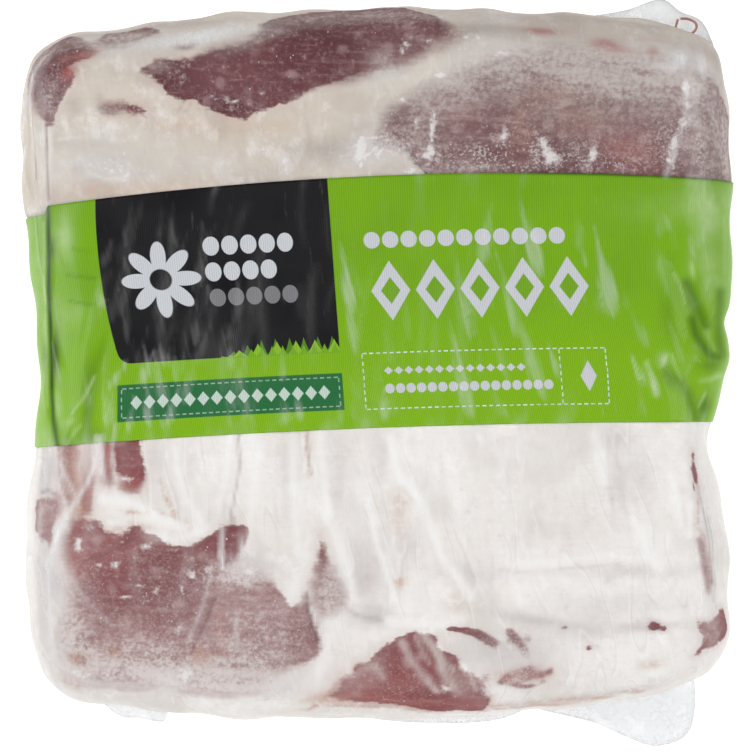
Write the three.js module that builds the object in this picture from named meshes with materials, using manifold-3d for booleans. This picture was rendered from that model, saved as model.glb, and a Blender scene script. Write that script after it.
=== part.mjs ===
// A raw lamb joint, frozen flat in a clear vacuum bag, with a printed band round its middle.
// Millimetres, +Z up. The pack lies on its back: X runs across it along the band, Y runs
// towards its far edge, and the origin is at the middle of the base.
// The bag is drawn tight on the meat, so bag and meat are one solid here, with the flat
// film corners that stand out from the bag's edges fused on. The band is a closed loop
// let into that solid, round the top, both sides and the underside.

import * as THREE from "three";
import { mergeVertices } from "three/addons/utils/BufferGeometryUtils.js";
import Module from "manifold-3d";

// The pack's size without the film corners, which reach 248 from the far one to the near one.
const PACK_WIDTH = 235;
const PACK_LENGTH = 235;
const PACK_HEIGHT = 54;
// How square the rounding of the sides and corners is: 2 is a circle, and more is squarer.
const EDGE_SQUARENESS = 3;

// The printed band: how far it lies below the skin, its thickness, and its clearance.
const BAND_SINK = 0.2;
const BAND_THICKNESS = 0.7;
const BAND_CLEARANCE = 0.3;
// Its far and near edges at mid width, and how far each bows and leans across the pack.
const BAND_FAR = { y: 64.8, bow: -6.3, lean: 4.9 };
const BAND_NEAR = { y: -16.8, bow: -2.6, lean: 4.4 };

// The thickness of the film that stands out past the meat.
const FILM_THICKNESS = 1;

// How finely the skin is divided: cells along each side, rows down each side and rows under it.
const CELLS_ACROSS = 40;
const SIDE_ROWS = 6;
const UNDER_ROWS = 3;

const COLOURS = { pack: 0xd9cdc4, band: 0x78b428 };

// A smooth hump of height 1 at centre, falling off over width.
const bell = (value, centre, width) => Math.exp(-(((value - centre) / width) ** 2));
// 0 at centre and 1 at a distance of half, growing by the power given.
const bow = (value, centre, half, power) => Math.abs((value - centre) / half) ** power;
const mix = (from, to, share) => from + (to - from) * share;

// The outline seen from above. The far edge bows out and drops towards its corners, the near
// edge does so more on the right, and both sides are drawn in where the band crosses them.
const farEdge = (x) => 121.7 - 9.8 * bow(x, 10, 117, 2.2);
const nearEdge = (x) => -113.5 + 9 * bow(x, -12, 107, 2.4);
const leftEdge = (y) => -117.4 + 0.018 * (85 - y) + 5.2 * bell(y, 6, 34);
const rightEdge = (y) => 117.3 - 7 * bell(y, -23, 21) - 2 * bell(y, 16, 7);

// Rounded swellings of the top, where each muscle or fold of fat lies under the film.
const SWELLINGS = [
  { name: "crown", x: 0, y: 0, across: 90, along: 80, height: 1.6 },
  { name: "far muscle", x: -25, y: 99, across: 46, along: 13, height: 1.9 },
  { name: "far left knob", x: -104, y: 98, across: 14, along: 16, height: 1.6 },
  { name: "right muscle", x: 66, y: 76, across: 46, along: 22, height: 1.7 },
  { name: "near left muscle", x: -68, y: -70, across: 40, along: 26, height: 1.8 },
  { name: "near middle muscle", x: 10, y: -98, across: 26, along: 11, height: 1.7 },
  { name: "near right fat", x: 66, y: -44, across: 40, along: 22, height: 1.3 },
  { name: "near right roll", x: 66, y: -90, across: 42, along: 12, height: 1.2 },
];
// The seam of fat between the far muscle and the right one: a shallow valley along a line.
const FAT_SEAM = { x: 15, y: 92, slope: 0.32, halfLength: 62, width: 7, depth: 1.8 };

// Creases that the tight film draws across the top, each along a straight line from one
// place to another. A height below 0 is a groove.
const CREASES = [
  { name: "left pleat", from: [-109, 90], to: [-108, -4], width: 4.5, height: 1.7 },
  { name: "left pleat's tail", from: [-108, -6], to: [-101, -42], width: 4.5, height: 1.5 },
  { name: "near left ridge", from: [-98, -38], to: [-108, -60], width: 4.5, height: 1.3 },
  { name: "upper right crumple", from: [97, 36], to: [111, 8], width: 4.5, height: -1.8 },
  { name: "right knob", from: [103, 5], to: [115, 5], width: 5, height: 1.4 },
  { name: "lower right crumple", from: [98, 2], to: [107, -15], width: 4.5, height: -1.6 },
  { name: "near right ledge", from: [22, -71], to: [98, -70], width: 5, height: -1.3 },
  { name: "near middle valley", from: [-22, -56], to: [-18, -92], width: 5, height: -1.3 },
  { name: "near left valley", from: [-49, -52], to: [-61, -91], width: 5, height: -1.1 },
];

// The height of a crease at a place: full along its line, and gone within its width.
function creaseHeight(crease, x, y) {
  const place = new THREE.Vector3(x, y, 0);
  const line = new THREE.Line3(
    new THREE.Vector3(...crease.from, 0),
    new THREE.Vector3(...crease.to, 0),
  );
  const nearest = line.closestPointToPoint(place, true, new THREE.Vector3());
  return crease.height * bell(place.distanceTo(nearest), 0, crease.width);
}

// How far the top stands above its plain level at a place.
function relief(x, y) {
  let rise = 0;
  for (const s of SWELLINGS) {
    rise += s.height * bell(x, s.x, s.across) * bell(y, s.y, s.along);
  }
  for (const crease of CREASES) {
    rise += creaseHeight(crease, x, y);
  }
  const seamLine = FAT_SEAM.y + FAT_SEAM.slope * (x - FAT_SEAM.x);
  const seamEnd = bell(x, FAT_SEAM.x, FAT_SEAM.halfLength);
  return rise - FAT_SEAM.depth * bell(y, seamLine, FAT_SEAM.width) * seamEnd;
}

// How far a side swells outwards at a distance along it, most at half height.
const SIDE_SWELL = 0.45;
const SIDE_WAVE = 62;
// An odd power, so that opposite sides move apart and the middle stays still.
const SWELL_REACH = 9;
function sideSwell(along, level) {
  const turn = (2 * Math.PI * along) / SIDE_WAVE;
  return SIDE_SWELL * (Math.sin(turn + level) + Math.sin(turn * 2.3 - level)) * (1 - level ** 2);
}

// A point of the skin, sunk by inset, from a point of a box whose faces lie at -1 and 1.
function skinPoint(a, b, c, inset) {
  const half = new THREE.Vector3(PACK_WIDTH, PACK_LENGTH, PACK_HEIGHT).multiplyScalar(0.5);
  half.subScalar(inset);
  const radius = half.z;
  const flatX = half.x - radius;
  const flatY = half.y - radius;
  const onBox = new THREE.Vector3(a * half.x, b * half.y, c * half.z);
  const core = new THREE.Vector3(
    THREE.MathUtils.clamp(onBox.x, -flatX, flatX),
    THREE.MathUtils.clamp(onBox.y, -flatY, flatY),
    0,
  );
  const out = onBox.clone().sub(core);
  const reach =
    (Math.abs(out.x) ** EDGE_SQUARENESS +
      Math.abs(out.y) ** EDGE_SQUARENESS +
      Math.abs(out.z) ** EDGE_SQUARENESS) **
    (1 / EDGE_SQUARENESS);
  const p = core.addScaledVector(out, radius / reach);

  // The plain rounded slab is stretched to the outline, which the inset draws in as well.
  const level = p.z / half.z;
  const outX = p.x / half.x;
  const outY = p.y / half.y;
  const outlineY = mix(nearEdge(p.x) + inset, farEdge(p.x) - inset, (outY + 1) / 2);
  const outlineX = mix(leftEdge(outlineY) + inset, rightEdge(outlineY) - inset, (outX + 1) / 2);
  const x = outlineX + sideSwell(p.y, level) * outX ** SWELL_REACH;
  const y = outlineY + sideSwell(p.x, level) * outY ** SWELL_REACH;
  const top = THREE.MathUtils.smoothstep(level, 0, 1);
  return new THREE.Vector3(x, y, PACK_HEIGHT / 2 + p.z + relief(x, y) * top);
}

// The places round the rim of a square whose sides lie at -1 and 1, anticlockwise from above.
function rimPlaces() {
  const places = [];
  for (let i = 0; i < CELLS_ACROSS; i++) {
    const t = (2 * i) / CELLS_ACROSS - 1;
    places.push([t, -1], [1, t], [-t, 1], [-1, -t]);
  }
  return places.sort((p, q) => Math.atan2(p[1], p[0]) - Math.atan2(q[1], q[0]));
}

// The whole skin as a closed mesh: a grid over the top, rows down the sides and in under
// them, and one flat face beneath.
function skin(inset) {
  const corners = [];
  const triangle = (p, q, r) => corners.push(...p.toArray(), ...q.toArray(), ...r.toArray());
  const cell = (p, q, r, s) => {
    triangle(p, q, r);
    triangle(p, r, s);
  };
  const at = (i) => (2 * i) / CELLS_ACROSS - 1;
  for (let i = 0; i < CELLS_ACROSS; i++) {
    for (let j = 0; j < CELLS_ACROSS; j++) {
      cell(
        skinPoint(at(i), at(j), 1, inset),
        skinPoint(at(i + 1), at(j), 1, inset),
        skinPoint(at(i + 1), at(j + 1), 1, inset),
        skinPoint(at(i), at(j + 1), 1, inset),
      );
    }
  }

  // Each ring is the square rim at its own height, drawn in once it is underneath.
  const rim = rimPlaces();
  const flatShare = 1 - (PACK_HEIGHT / 2 - inset) / (PACK_WIDTH / 2 - inset);
  const rings = [];
  for (let row = 0; row <= SIDE_ROWS; row++) {
    const level = 1 - (2 * row) / SIDE_ROWS;
    rings.push(rim.map(([a, b]) => skinPoint(a, b, level, inset)));
  }
  for (let row = 1; row <= UNDER_ROWS; row++) {
    const share = mix(1, flatShare, row / UNDER_ROWS);
    rings.push(rim.map(([a, b]) => skinPoint(a * share, b * share, -1, inset)));
  }
  for (let row = 0; row + 1 < rings.length; row++) {
    const upper = rings[row];
    const lower = rings[row + 1];
    upper.forEach((p, i) => {
      const next = (i + 1) % rim.length;
      cell(p, lower[i], lower[next], upper[next]);
    });
  }

  const base = rings[rings.length - 1];
  const contour = base.map((p) => new THREE.Vector2(p.x, p.y));
  for (const [i, j, k] of THREE.ShapeUtils.triangulateShape(contour, [])) {
    triangle(base[i], base[k], base[j]);
  }
  return closedGeometry(corners);
}

// Loose triangles as one geometry whose shared corners are merged.
function closedGeometry(corners) {
  const loose = new THREE.BufferGeometry();
  loose.setAttribute("position", new THREE.Float32BufferAttribute(corners, 3));
  return mergeVertices(loose, 1e-4);
}

// The band's edges as seen from above: y as a function of x.
const bandEdge = (edge) => (x) =>
  edge.y + edge.lean * (x / PACK_WIDTH) * 2 + edge.bow * bow(x, 0, PACK_WIDTH / 2, 2);

// An upright block between the band's edges, spread by margin, that cuts through the pack.
function bandBlock(margin) {
  const reach = PACK_WIDTH / 2 + 15;
  const steps = 20;
  const far = bandEdge(BAND_FAR);
  const near = bandEdge(BAND_NEAR);
  const shape = new THREE.Shape();
  shape.moveTo(-reach, near(-reach) - margin);
  for (let i = 1; i <= steps; i++) {
    const x = mix(-reach, reach, i / steps);
    shape.lineTo(x, near(x) - margin);
  }
  for (let i = steps; i >= 0; i--) {
    const x = mix(-reach, reach, i / steps);
    shape.lineTo(x, far(x) + margin);
  }
  const above = 20;
  const block = new THREE.ExtrudeGeometry(shape, {
    depth: PACK_HEIGHT + 2 * above,
    bevelEnabled: false,
  });
  return block.translate(0, 0, -above);
}

// Flat film that stands out past the meat. Each flap runs from a root line inside the pack
// to an outer edge, a smooth curve through a few points, at the heights given.
const FILM_FLAPS = [
  {
    name: "far right corner",
    root: [[64, 104], [100, 90]],
    outer: [[68, 117.8], [82, 120.4], [93.5, 124], [100, 120], [107, 117], [111, 110], [115, 99]],
    rootHeight: 27,
    outerHeight: 33,
    ripple: 1.1,
    ripples: 2.5,
    cells: 22,
  },
  {
    name: "near right corner",
    root: [[50, -98], [92, -86]],
    outer: [[52, -111], [72, -116], [84, -121], [94, -124], [104, -120.5], [107, -111], [106, -96]],
    rootHeight: 20,
    outerHeight: 7,
    ripple: 1.4,
    ripples: 2.5,
    cells: 24,
  },
  {
    name: "near left tab",
    root: [[-92, -100], [-66, -103]],
    outer: [[-95, -106], [-86, -113.2], [-79, -114.3], [-71, -115.4], [-69, -110]],
    rootHeight: 22,
    outerHeight: 12,
    ripple: 0.6,
    ripples: 1,
    cells: 12,
  },
  {
    name: "near middle hem",
    root: [[-12, -104], [48, -102]],
    outer: [[-14, -112], [6, -114.8], [24, -115.6], [40, -114.4], [52, -110]],
    rootHeight: 24,
    outerHeight: 17,
    ripple: 0.6,
    ripples: 1.5,
    cells: 16,
  },
];

function filmFlap(flap) {
  const rows = 6;
  const outer = new THREE.CatmullRomCurve3(flap.outer.map(([x, y]) => new THREE.Vector3(x, y, 0)));
  const [rootStart, rootEnd] = flap.root.map(([x, y]) => new THREE.Vector3(x, y, 0));
  const place = (i, j, side) => {
    const along = i / flap.cells;
    const outward = j / rows;
    const p = rootStart.clone().lerp(rootEnd, along).lerp(outer.getPointAt(along), outward);
    const ripple = flap.ripple * outward * Math.sin(along * flap.ripples * 2 * Math.PI);
    p.z = mix(flap.rootHeight, flap.outerHeight, outward) + ripple + (side * FILM_THICKNESS) / 2;
    return p;
  };
  const corners = [];
  const cell = (...ring) => {
    const [p, q, r, s] = ring.map((v) => v.toArray());
    corners.push(...p, ...q, ...r, ...p, ...r, ...s);
  };
  for (let i = 0; i < flap.cells; i++) {
    for (let j = 0; j < rows; j++) {
      cell(place(i, j, 1), place(i, j + 1, 1), place(i + 1, j + 1, 1), place(i + 1, j, 1));
      cell(place(i, j, -1), place(i + 1, j, -1), place(i + 1, j + 1, -1), place(i, j + 1, -1));
    }
    cell(place(i, 0, -1), place(i, 0, 1), place(i + 1, 0, 1), place(i + 1, 0, -1));
    cell(place(i, rows, 1), place(i, rows, -1), place(i + 1, rows, -1), place(i + 1, rows, 1));
  }
  for (let j = 0; j < rows; j++) {
    const last = flap.cells;
    cell(place(0, j, 1), place(0, j, -1), place(0, j + 1, -1), place(0, j + 1, 1));
    cell(place(last, j, -1), place(last, j, 1), place(last, j + 1, 1), place(last, j + 1, -1));
  }
  return closedGeometry(corners);
}

const wasm = await Module();
wasm.setup();

// A closed geometry as a solid, turned the right way round if its faces point inwards.
function solid(geometry) {
  const bare = geometry.clone();
  bare.deleteAttribute("normal");
  bare.deleteAttribute("uv");
  const merged = mergeVertices(bare, 1e-4);
  const triVerts = new Uint32Array(merged.index.array);
  const vertProperties = merged.attributes.position.array;
  const made = new wasm.Manifold(new wasm.Mesh({ numProp: 3, vertProperties, triVerts }));
  if (made.volume() > 0) return made;
  for (let i = 0; i < triVerts.length; i += 3) {
    [triVerts[i + 1], triVerts[i + 2]] = [triVerts[i + 2], triVerts[i + 1]];
  }
  return new wasm.Manifold(new wasm.Mesh({ numProp: 3, vertProperties, triVerts }));
}

function namedMesh(name, made, colour, roughness) {
  const { vertProperties, triVerts } = made.getMesh();
  const geometry = new THREE.BufferGeometry();
  geometry.setAttribute("position", new THREE.Float32BufferAttribute(vertProperties, 3));
  geometry.setIndex(new THREE.BufferAttribute(triVerts, 1));
  geometry.computeVertexNormals();
  const material = new THREE.MeshStandardMaterial({ color: colour, roughness, metalness: 0 });
  const mesh = new THREE.Mesh(geometry, material);
  mesh.name = name;
  return mesh;
}

// The bag with the meat in it: the full skin outside the band, the sunk skin behind the band,
// and the film flaps.
function bagWithMeat() {
  const channelFloor = BAND_SINK + BAND_THICKNESS + BAND_CLEARANCE;
  const outsideBand = solid(skin(0)).subtract(solid(bandBlock(BAND_CLEARANCE)));
  let made = outsideBand.add(solid(skin(channelFloor)));
  for (const flap of FILM_FLAPS) {
    made = made.add(solid(filmFlap(flap)));
  }
  return made;
}

function printedBand() {
  const loop = solid(skin(BAND_SINK)).subtract(solid(skin(BAND_SINK + BAND_THICKNESS)));
  return loop.intersect(solid(bandBlock(0)));
}

const pack = new THREE.Group();
pack.add(namedMesh("vacuum_pack", bagWithMeat(), COLOURS.pack, 0.4));
pack.add(namedMesh("printed_band", printedBand(), COLOURS.band, 0.45));

export default pack;
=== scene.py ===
# A joint of raw lamb, frozen flat in a clear vacuum bag, with a printed band round its middle.
# Sizes are in millimetres and each mesh is written in metres. +Z is up out of the printed face,
# X runs along the band, Y towards the far edge, and the origin is at the middle of the base.

import math

import bpy
import numpy as np
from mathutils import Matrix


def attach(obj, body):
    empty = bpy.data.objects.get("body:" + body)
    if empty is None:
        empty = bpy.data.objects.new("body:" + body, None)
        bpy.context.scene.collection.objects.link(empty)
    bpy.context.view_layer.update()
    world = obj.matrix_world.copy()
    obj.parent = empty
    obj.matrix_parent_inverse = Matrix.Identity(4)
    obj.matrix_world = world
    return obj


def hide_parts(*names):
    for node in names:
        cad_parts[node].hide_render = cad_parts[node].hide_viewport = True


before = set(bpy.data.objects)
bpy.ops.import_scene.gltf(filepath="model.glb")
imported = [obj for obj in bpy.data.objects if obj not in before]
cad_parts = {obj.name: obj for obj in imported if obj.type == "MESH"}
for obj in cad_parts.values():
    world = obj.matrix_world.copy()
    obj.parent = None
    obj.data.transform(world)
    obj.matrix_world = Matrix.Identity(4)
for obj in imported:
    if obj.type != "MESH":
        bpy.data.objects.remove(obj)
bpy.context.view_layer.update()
MM = 0.001
scene = bpy.context.scene

# The camera: a long lens straight above the pack, as in a catalogue picture.
# The square picture takes in 248 mm at the height of the pack's upper edge.
def put_in(name, data):
    """Puts a camera, a light or a mesh into the scene as an object."""
    made = bpy.data.objects.new(name, data)
    scene.collection.objects.link(made)
    return made


FIELD = 248
FIELD_HEIGHT = 30
LENS = 200
SENSOR = 36
camera_data = bpy.data.cameras.new("packshot_camera")
camera_data.lens = LENS
camera_data.sensor_width = SENSOR
camera_data.clip_start = 0.05
camera_data.clip_end = 20
camera = put_in("packshot_camera", camera_data)
camera.location = (0, 0, (FIELD_HEIGHT + FIELD * LENS / SENSOR) * MM)
scene.camera = camera


# The studio: a pale table lit evenly, a bright room all round, and a large soft light on each
# side, low enough for the slopes of the film's wrinkles to catch it. None of it is the pack.
def srgb(red, green, blue):
    """A colour of 0 to 255 on screen, as the linear colour that a shader takes."""
    def linear(value):
        share = value / 255
        return share / 12.92 if share <= 0.04045 else ((share + 0.055) / 1.055) ** 2.4
    return (linear(red), linear(green), linear(blue), 1)


def add_node(kind, inputs=None, **settings):
    """A new node in the tree being built, which is whatever tree stands for at the time.

    Each of its inputs is given a value, or is linked to another node's output."""
    made = tree.nodes.new(kind)
    for name, value in settings.items():
        setattr(made, name, value)
    for name, value in (inputs or {}).items():
        if isinstance(value, bpy.types.NodeSocket):
            tree.links.new(value, made.inputs[name])
        else:
            made.inputs[name].default_value = value
    return made


def new_material(name):
    """An empty material and its tree."""
    material = bpy.data.materials.new(name)
    material.use_nodes = True
    material.node_tree.nodes.clear()
    return material, material.node_tree


def finish_material(inputs, milk=None):
    """The end of a material: its shader, see-through wherever the milk given is below 1."""
    surface = add_node("ShaderNodeBsdfPrincipled", inputs).outputs[0]
    if milk is not None:
        clear = add_node("ShaderNodeBsdfTransparent").outputs[0]
        surface = add_node("ShaderNodeMixShader", {0: milk, 1: clear, 2: surface}).outputs[0]
    add_node("ShaderNodeOutputMaterial", {"Surface": surface})


TABLE_HALF = 3000
TABLE_DROP = 0.4
TABLE_GLOW = 0.6
ROOM_GLOW = 0.3
table_mesh = bpy.data.meshes.new("table")
reach = TABLE_HALF * MM
corners = [(-reach, -reach, 0), (reach, -reach, 0), (reach, reach, 0), (-reach, reach, 0)]
table_mesh.from_pydata(corners, [], [(0, 1, 2, 3)])
table = put_in("table", table_mesh)
table.location.z = -TABLE_DROP * MM
table_white, tree = new_material("table_white")
finish_material({
    "Base Color": srgb(244, 244, 244),
    "Roughness": 0.7,
    "Emission Color": (1, 1, 1, 1),
    "Emission Strength": TABLE_GLOW,
})
table_mesh.materials.append(table_white)

scene.world = bpy.data.worlds.new("bright_room")
scene.world.use_nodes = True
room = scene.world.node_tree.nodes["Background"]
room.inputs["Color"].default_value = (1, 1, 1, 1)
room.inputs["Strength"].default_value = ROOM_GLOW
scene.view_settings.view_transform = "Standard"

SOFT_LIGHTS = [
    # name, place in mm, side in mm, watts
    ("left_light", (-620, 160, 760), 560, 4.3),
    ("right_light", (640, 60, 700), 500, 2.8),
    ("near_light", (-60, -820, 760), 600, 2.8),
]
for name, place, side, watts in SOFT_LIGHTS:
    light = bpy.data.lights.new(name, "AREA")
    light.size = side * MM
    light.energy = watts
    holder = put_in(name, light)
    holder.location = [value * MM for value in place]
    down = -holder.location
    holder.rotation_euler = down.to_track_quat("-Z", "Y").to_euler()


# The block of lamb: one frozen slab, about 235 mm square and 54 mm thick, of dark muscle and
# pale fat, pressed by the vacuum into a cushion with soft corners. Its form is the CAD pack's,
# sunk a little so that band and film lie over it, with the finer relief of meat added.
PACK_WIDTH = 235
PACK_LENGTH = 235
PACK_HEIGHT = 54
EDGE_SQUARENESS = 3
SIDE_SWELL = 0.45
SIDE_WAVE = 62
SWELL_REACH = 9
MEAT_SINK = 0.65


def bell(value, centre, width):
    """A smooth hump of height 1 at centre, falling off over width."""
    return np.exp(-(((value - centre) / width) ** 2))


def bow(value, centre, half, power):
    """0 at centre and 1 at a distance of half, growing by the power given."""
    return np.abs((value - centre) / half) ** power


def smooth(value, low, high):
    """0 below low, 1 above high, and a smooth rise between."""
    share = np.clip((value - low) / (high - low), 0, 1)
    return share * share * (3 - 2 * share)


# The outline seen from above: each edge bows out, with a waist or a bulge here and there.
def far_edge(x):
    return 121.7 - 9.8 * bow(x, 10, 117, 2.2)


def near_edge(x):
    return -113.5 + 9 * bow(x, -12, 107, 2.4)


def left_edge(y):
    waist = 5.2 * bell(y, 6, 34)
    return -117.4 + 0.018 * (85 - y) + waist - 1.5 * bell(y, -62, 20) + 1.6 * bell(y, -92, 8)


def right_edge(y):
    waist = 7 * bell(y, -23, 21) + 2 * bell(y, 16, 7)
    return 117.3 - waist - 1.1 * bell(y, 18, 4) + 0.7 * bell(y, 5, 4) - 1.1 * bell(y, 94, 16)


# The swellings of the top: x, y, reach across, reach along, height.
SWELLINGS = {
    "crown": (0, 0, 90, 80, 1.6),
    "far muscle": (-25, 99, 46, 13, 1.9),
    "far left knob": (-104, 98, 14, 16, 1.6),
    "right muscle": (66, 76, 46, 22, 1.7),
    "near left muscle": (-68, -70, 40, 26, 1.8),
    "near middle muscle": (10, -98, 26, 11, 1.7),
    "near right fat": (66, -44, 40, 22, 1.3),
    "near right roll": (66, -90, 42, 12, 1.2),
}
# The main creases of the film: from, to, width and height, where a groove is below 0.
CREASES = {
    "left pleat": ((-109, 90), (-108, -4), 4.5, 1.7),
    "left pleat's tail": ((-108, -6), (-101, -42), 4.5, 1.5),
    "near left ridge": ((-98, -38), (-108, -60), 4.5, 1.3),
    "upper right crumple": ((97, 36), (111, 8), 4.5, -1.8),
    "right knob": ((103, 5), (115, 5), 5, 1.4),
    "lower right crumple": ((98, 2), (107, -15), 4.5, -1.6),
    "near right ledge": ((22, -71), (98, -70), 5, -1.3),
    "near middle valley": ((-22, -56), (-18, -92), 5, -1.3),
    "near left valley": ((-49, -52), (-61, -91), 5, -1.1),
}
# The seam between two muscles of the far end, a groove that leans across.
SEAM = {"x": 15, "y": 92, "lean": 0.32, "reach": 62, "width": 7, "depth": 1.8}


def line_height(x, y, start, end, width, height):
    """The height of a crease at each place: full along its line, gone within its width."""
    along_x = end[0] - start[0]
    along_y = end[1] - start[1]
    share = ((x - start[0]) * along_x + (y - start[1]) * along_y) / (along_x**2 + along_y**2)
    share = np.clip(share, 0, 1)
    distance = np.hypot(x - start[0] - share * along_x, y - start[1] - share * along_y)
    return height * bell(distance, 0, width)


def relief(x, y):
    """How far the top stands above its plain level, as on the CAD pack."""
    rise = np.zeros_like(x)
    for centre_x, centre_y, across, along, height in SWELLINGS.values():
        rise += height * bell(x, centre_x, across) * bell(y, centre_y, along)
    for start, end, width, height in CREASES.values():
        rise += line_height(x, y, start, end, width, height)
    seam_y = SEAM["y"] + SEAM["lean"] * (x - SEAM["x"])
    seam = bell(y, seam_y, SEAM["width"]) * bell(x, SEAM["x"], SEAM["reach"])
    return rise - SEAM["depth"] * seam


def side_swell(along, level):
    """How far the sides swell out, in soft waves that fade towards the top and the base."""
    turn = 2 * math.pi * along / SIDE_WAVE
    return SIDE_SWELL * (np.sin(turn + level) + np.sin(turn * 2.3 - level)) * (1 - level**2)


def skin_points(box_points, inset):
    """Points of the pack's skin, sunk by inset, from points of a box with its faces at -1 and 1."""
    half = np.array([PACK_WIDTH, PACK_LENGTH, PACK_HEIGHT]) / 2 - inset
    radius = half[2]
    on_box = box_points * half
    core = np.zeros_like(on_box)
    core[:, :2] = np.clip(on_box[:, :2], radius - half[:2], half[:2] - radius)
    out = on_box - core
    reach = (np.abs(out) ** EDGE_SQUARENESS).sum(1, keepdims=True) ** (1 / EDGE_SQUARENESS)
    p = core + out * radius / reach
    level = p[:, 2] / half[2]
    out_x = p[:, 0] / half[0]
    out_y = p[:, 1] / half[1]
    near = near_edge(p[:, 0]) + inset
    far = far_edge(p[:, 0]) - inset
    outline_y = near + (far - near) * (out_y + 1) / 2
    left = left_edge(outline_y) + inset
    right = right_edge(outline_y) - inset
    outline_x = left + (right - left) * (out_x + 1) / 2
    x = outline_x + side_swell(p[:, 1], level) * out_x**SWELL_REACH
    y = outline_y + side_swell(p[:, 0], level) * out_y**SWELL_REACH
    z = PACK_HEIGHT / 2 + p[:, 2] + relief(x, y) * smooth(level, 0, 1)
    return np.stack([x, y, z], 1)


def rim_of(index):
    """The numbers round the rim of a grid of numbers, anticlockwise."""
    return np.concatenate([index[:-1, 0], index[-1, :-1], index[:0:-1, -1], index[0, :0:-1]])


def skin_grid(cells, side_rows, under_rows):
    """A closed grid over a box with its faces at -1 and 1: its points and its faces."""
    steps = np.linspace(-1, 1, cells + 1)
    a, b = np.meshgrid(steps, steps, indexing="ij")
    points = [np.stack([a, b, np.ones_like(a)], -1).reshape(-1, 3)]
    index = np.arange(a.size).reshape(a.shape)
    cell = [index[:-1, :-1], index[1:, :-1], index[1:, 1:], index[:-1, 1:]]
    faces = [np.stack(cell, -1).reshape(-1, 4)]

    # Below the rim, each ring has as many points as the rim.
    upper = rim_of(index)
    rim_points = points[0][upper]
    levels = np.cos(np.linspace(0, math.pi, side_rows + 1))[1:]
    rings = [rim_points * (1, 1, 0) + (0, 0, level) for level in levels]
    shares = 1 - np.linspace(0, 1, under_rows + 1)[1:] ** 1.3
    rings += [rim_points * (share, share, 0) + (0, 0, -1) for share in shares[:-1]]
    count = index.size
    for ring in rings:
        lower = count + np.arange(len(ring))
        count += len(ring)
        points.append(ring)
        faces.append(np.stack([upper, lower, np.roll(lower, -1), np.roll(upper, -1)], -1))
        upper = lower
    points.append(np.array([[0, 0, -1.0]]))
    fan = [(int(p), count, int(q)) for p, q in zip(upper, np.roll(upper, -1))]
    return np.concatenate(points), np.concatenate(faces).tolist() + fan


def new_piece(name, points, faces, material):
    """A smooth piece of the pack from points in mm; its place is in its mesh."""
    mesh = bpy.data.meshes.new(name)
    mesh.from_pydata((points * MM).tolist(), [], faces)
    mesh.polygons.foreach_set("use_smooth", [True] * len(mesh.polygons))
    mesh.materials.append(material)
    return put_in(name, mesh)


def point_normals(piece):
    normals = np.zeros(len(piece.data.vertices) * 3, np.float32)
    piece.data.vertex_normals.foreach_get("vector", normals)
    return normals.reshape(-1, 3).astype(float)


def moved_out(piece, points, normals, height, lowest):
    """Moves a piece's points out by the height at each, none of them below the lowest level."""
    points = points + normals * height[:, None]
    points[:, 2] = np.maximum(points[:, 2], lowest)
    piece.data.vertices.foreach_set("co", (points * MM).astype(np.float32).ravel())
    piece.data.update()
    return points


def set_field(piece, name, values):
    """A value for each point of the mesh, for its material to read."""
    field = piece.data.attributes.new(name, "FLOAT", "POINT")
    field.data.foreach_set("value", values.astype(np.float32))


def lumps(places, wavelength, seed):
    """Soft lumps about a wavelength apart, between about -1 and 1, the same on each run."""
    random = np.random.default_rng(seed)
    total = np.zeros(len(places))
    waves = 14
    for _ in range(waves):
        direction = random.normal(size=places.shape[1])
        direction *= random.uniform(0.7, 1.4) / np.linalg.norm(direction)
        phase = random.uniform(0, 2 * math.pi)
        total += np.cos(places @ direction * 2 * math.pi / wavelength + phase)
    return total / math.sqrt(waves)


# The tight film's finer wrinkles, which press into band and meat as well. Each group has a
# middle, a spread, a number, the shortest and longest, a lean from upright in degrees with
# its spread, a width, and a height.
WRINKLE_GROUPS = {
    "across the band's near half": ((-28, -2), (78, 34), 60, (12, 46), 5, 6, 1.5, 0.42),
    "across the band's far half": ((-20, 44), (84, 22), 26, (8, 26), 3, 7, 1.3, 0.3),
    "below the band": ((-20, -44), (84, 26), 54, (14, 44), 4, 7, 1.7, 0.46),
    "near right fat": ((70, -52), (42, 34), 14, (10, 30), 12, 14, 1.9, 0.34),
    "right side": ((104, 20), (9, 60), 20, (8, 26), 8, 20, 1.5, 0.42),
    "left side": ((-108, 10), (7, 80), 26, (14, 46), -2, 7, 1.3, 0.5),
    "far right muscle": ((70, 88), (40, 24), 18, (6, 22), 8, 16, 1.2, 0.26),
    "far left fat": ((-60, 78), (44, 14), 14, (6, 16), 10, 30, 1.4, 0.26),
    "near edge": ((0, -104), (110, 8), 36, (5, 14), 15, 35, 1.3, 0.3),
    "far edge": ((0, 112), (105, 8), 22, (8, 24), 86, 12, 1.2, 0.22),
}
WRINKLE_SEED = 11
WRINKLE_MARGIN = 8
WRINKLE_BOW = 0.05


def draw_wrinkles():
    """Every wrinkle as its two ends, its width and its height."""
    random = np.random.default_rng(WRINKLE_SEED)
    drawn = []
    for middle, spread, number, reach, lean, lean_spread, width, height in WRINKLE_GROUPS.values():
        for _ in range(number):
            x = middle[0] + random.uniform(-1, 1) * spread[0]
            y = middle[1] + random.uniform(-1, 1) * spread[1]
            half = random.uniform(*reach) / 2
            turn = math.radians(lean + random.normal() * lean_spread)
            step = (half * math.sin(turn), half * math.cos(turn))
            wide = width * random.uniform(0.6, 1.3)
            high = height * random.uniform(0.4, 1.25)
            drawn.append(((x - step[0], y - step[1]), (x + step[0], y + step[1]), wide, high))
    return drawn


WRINKLES = draw_wrinkles()


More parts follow.
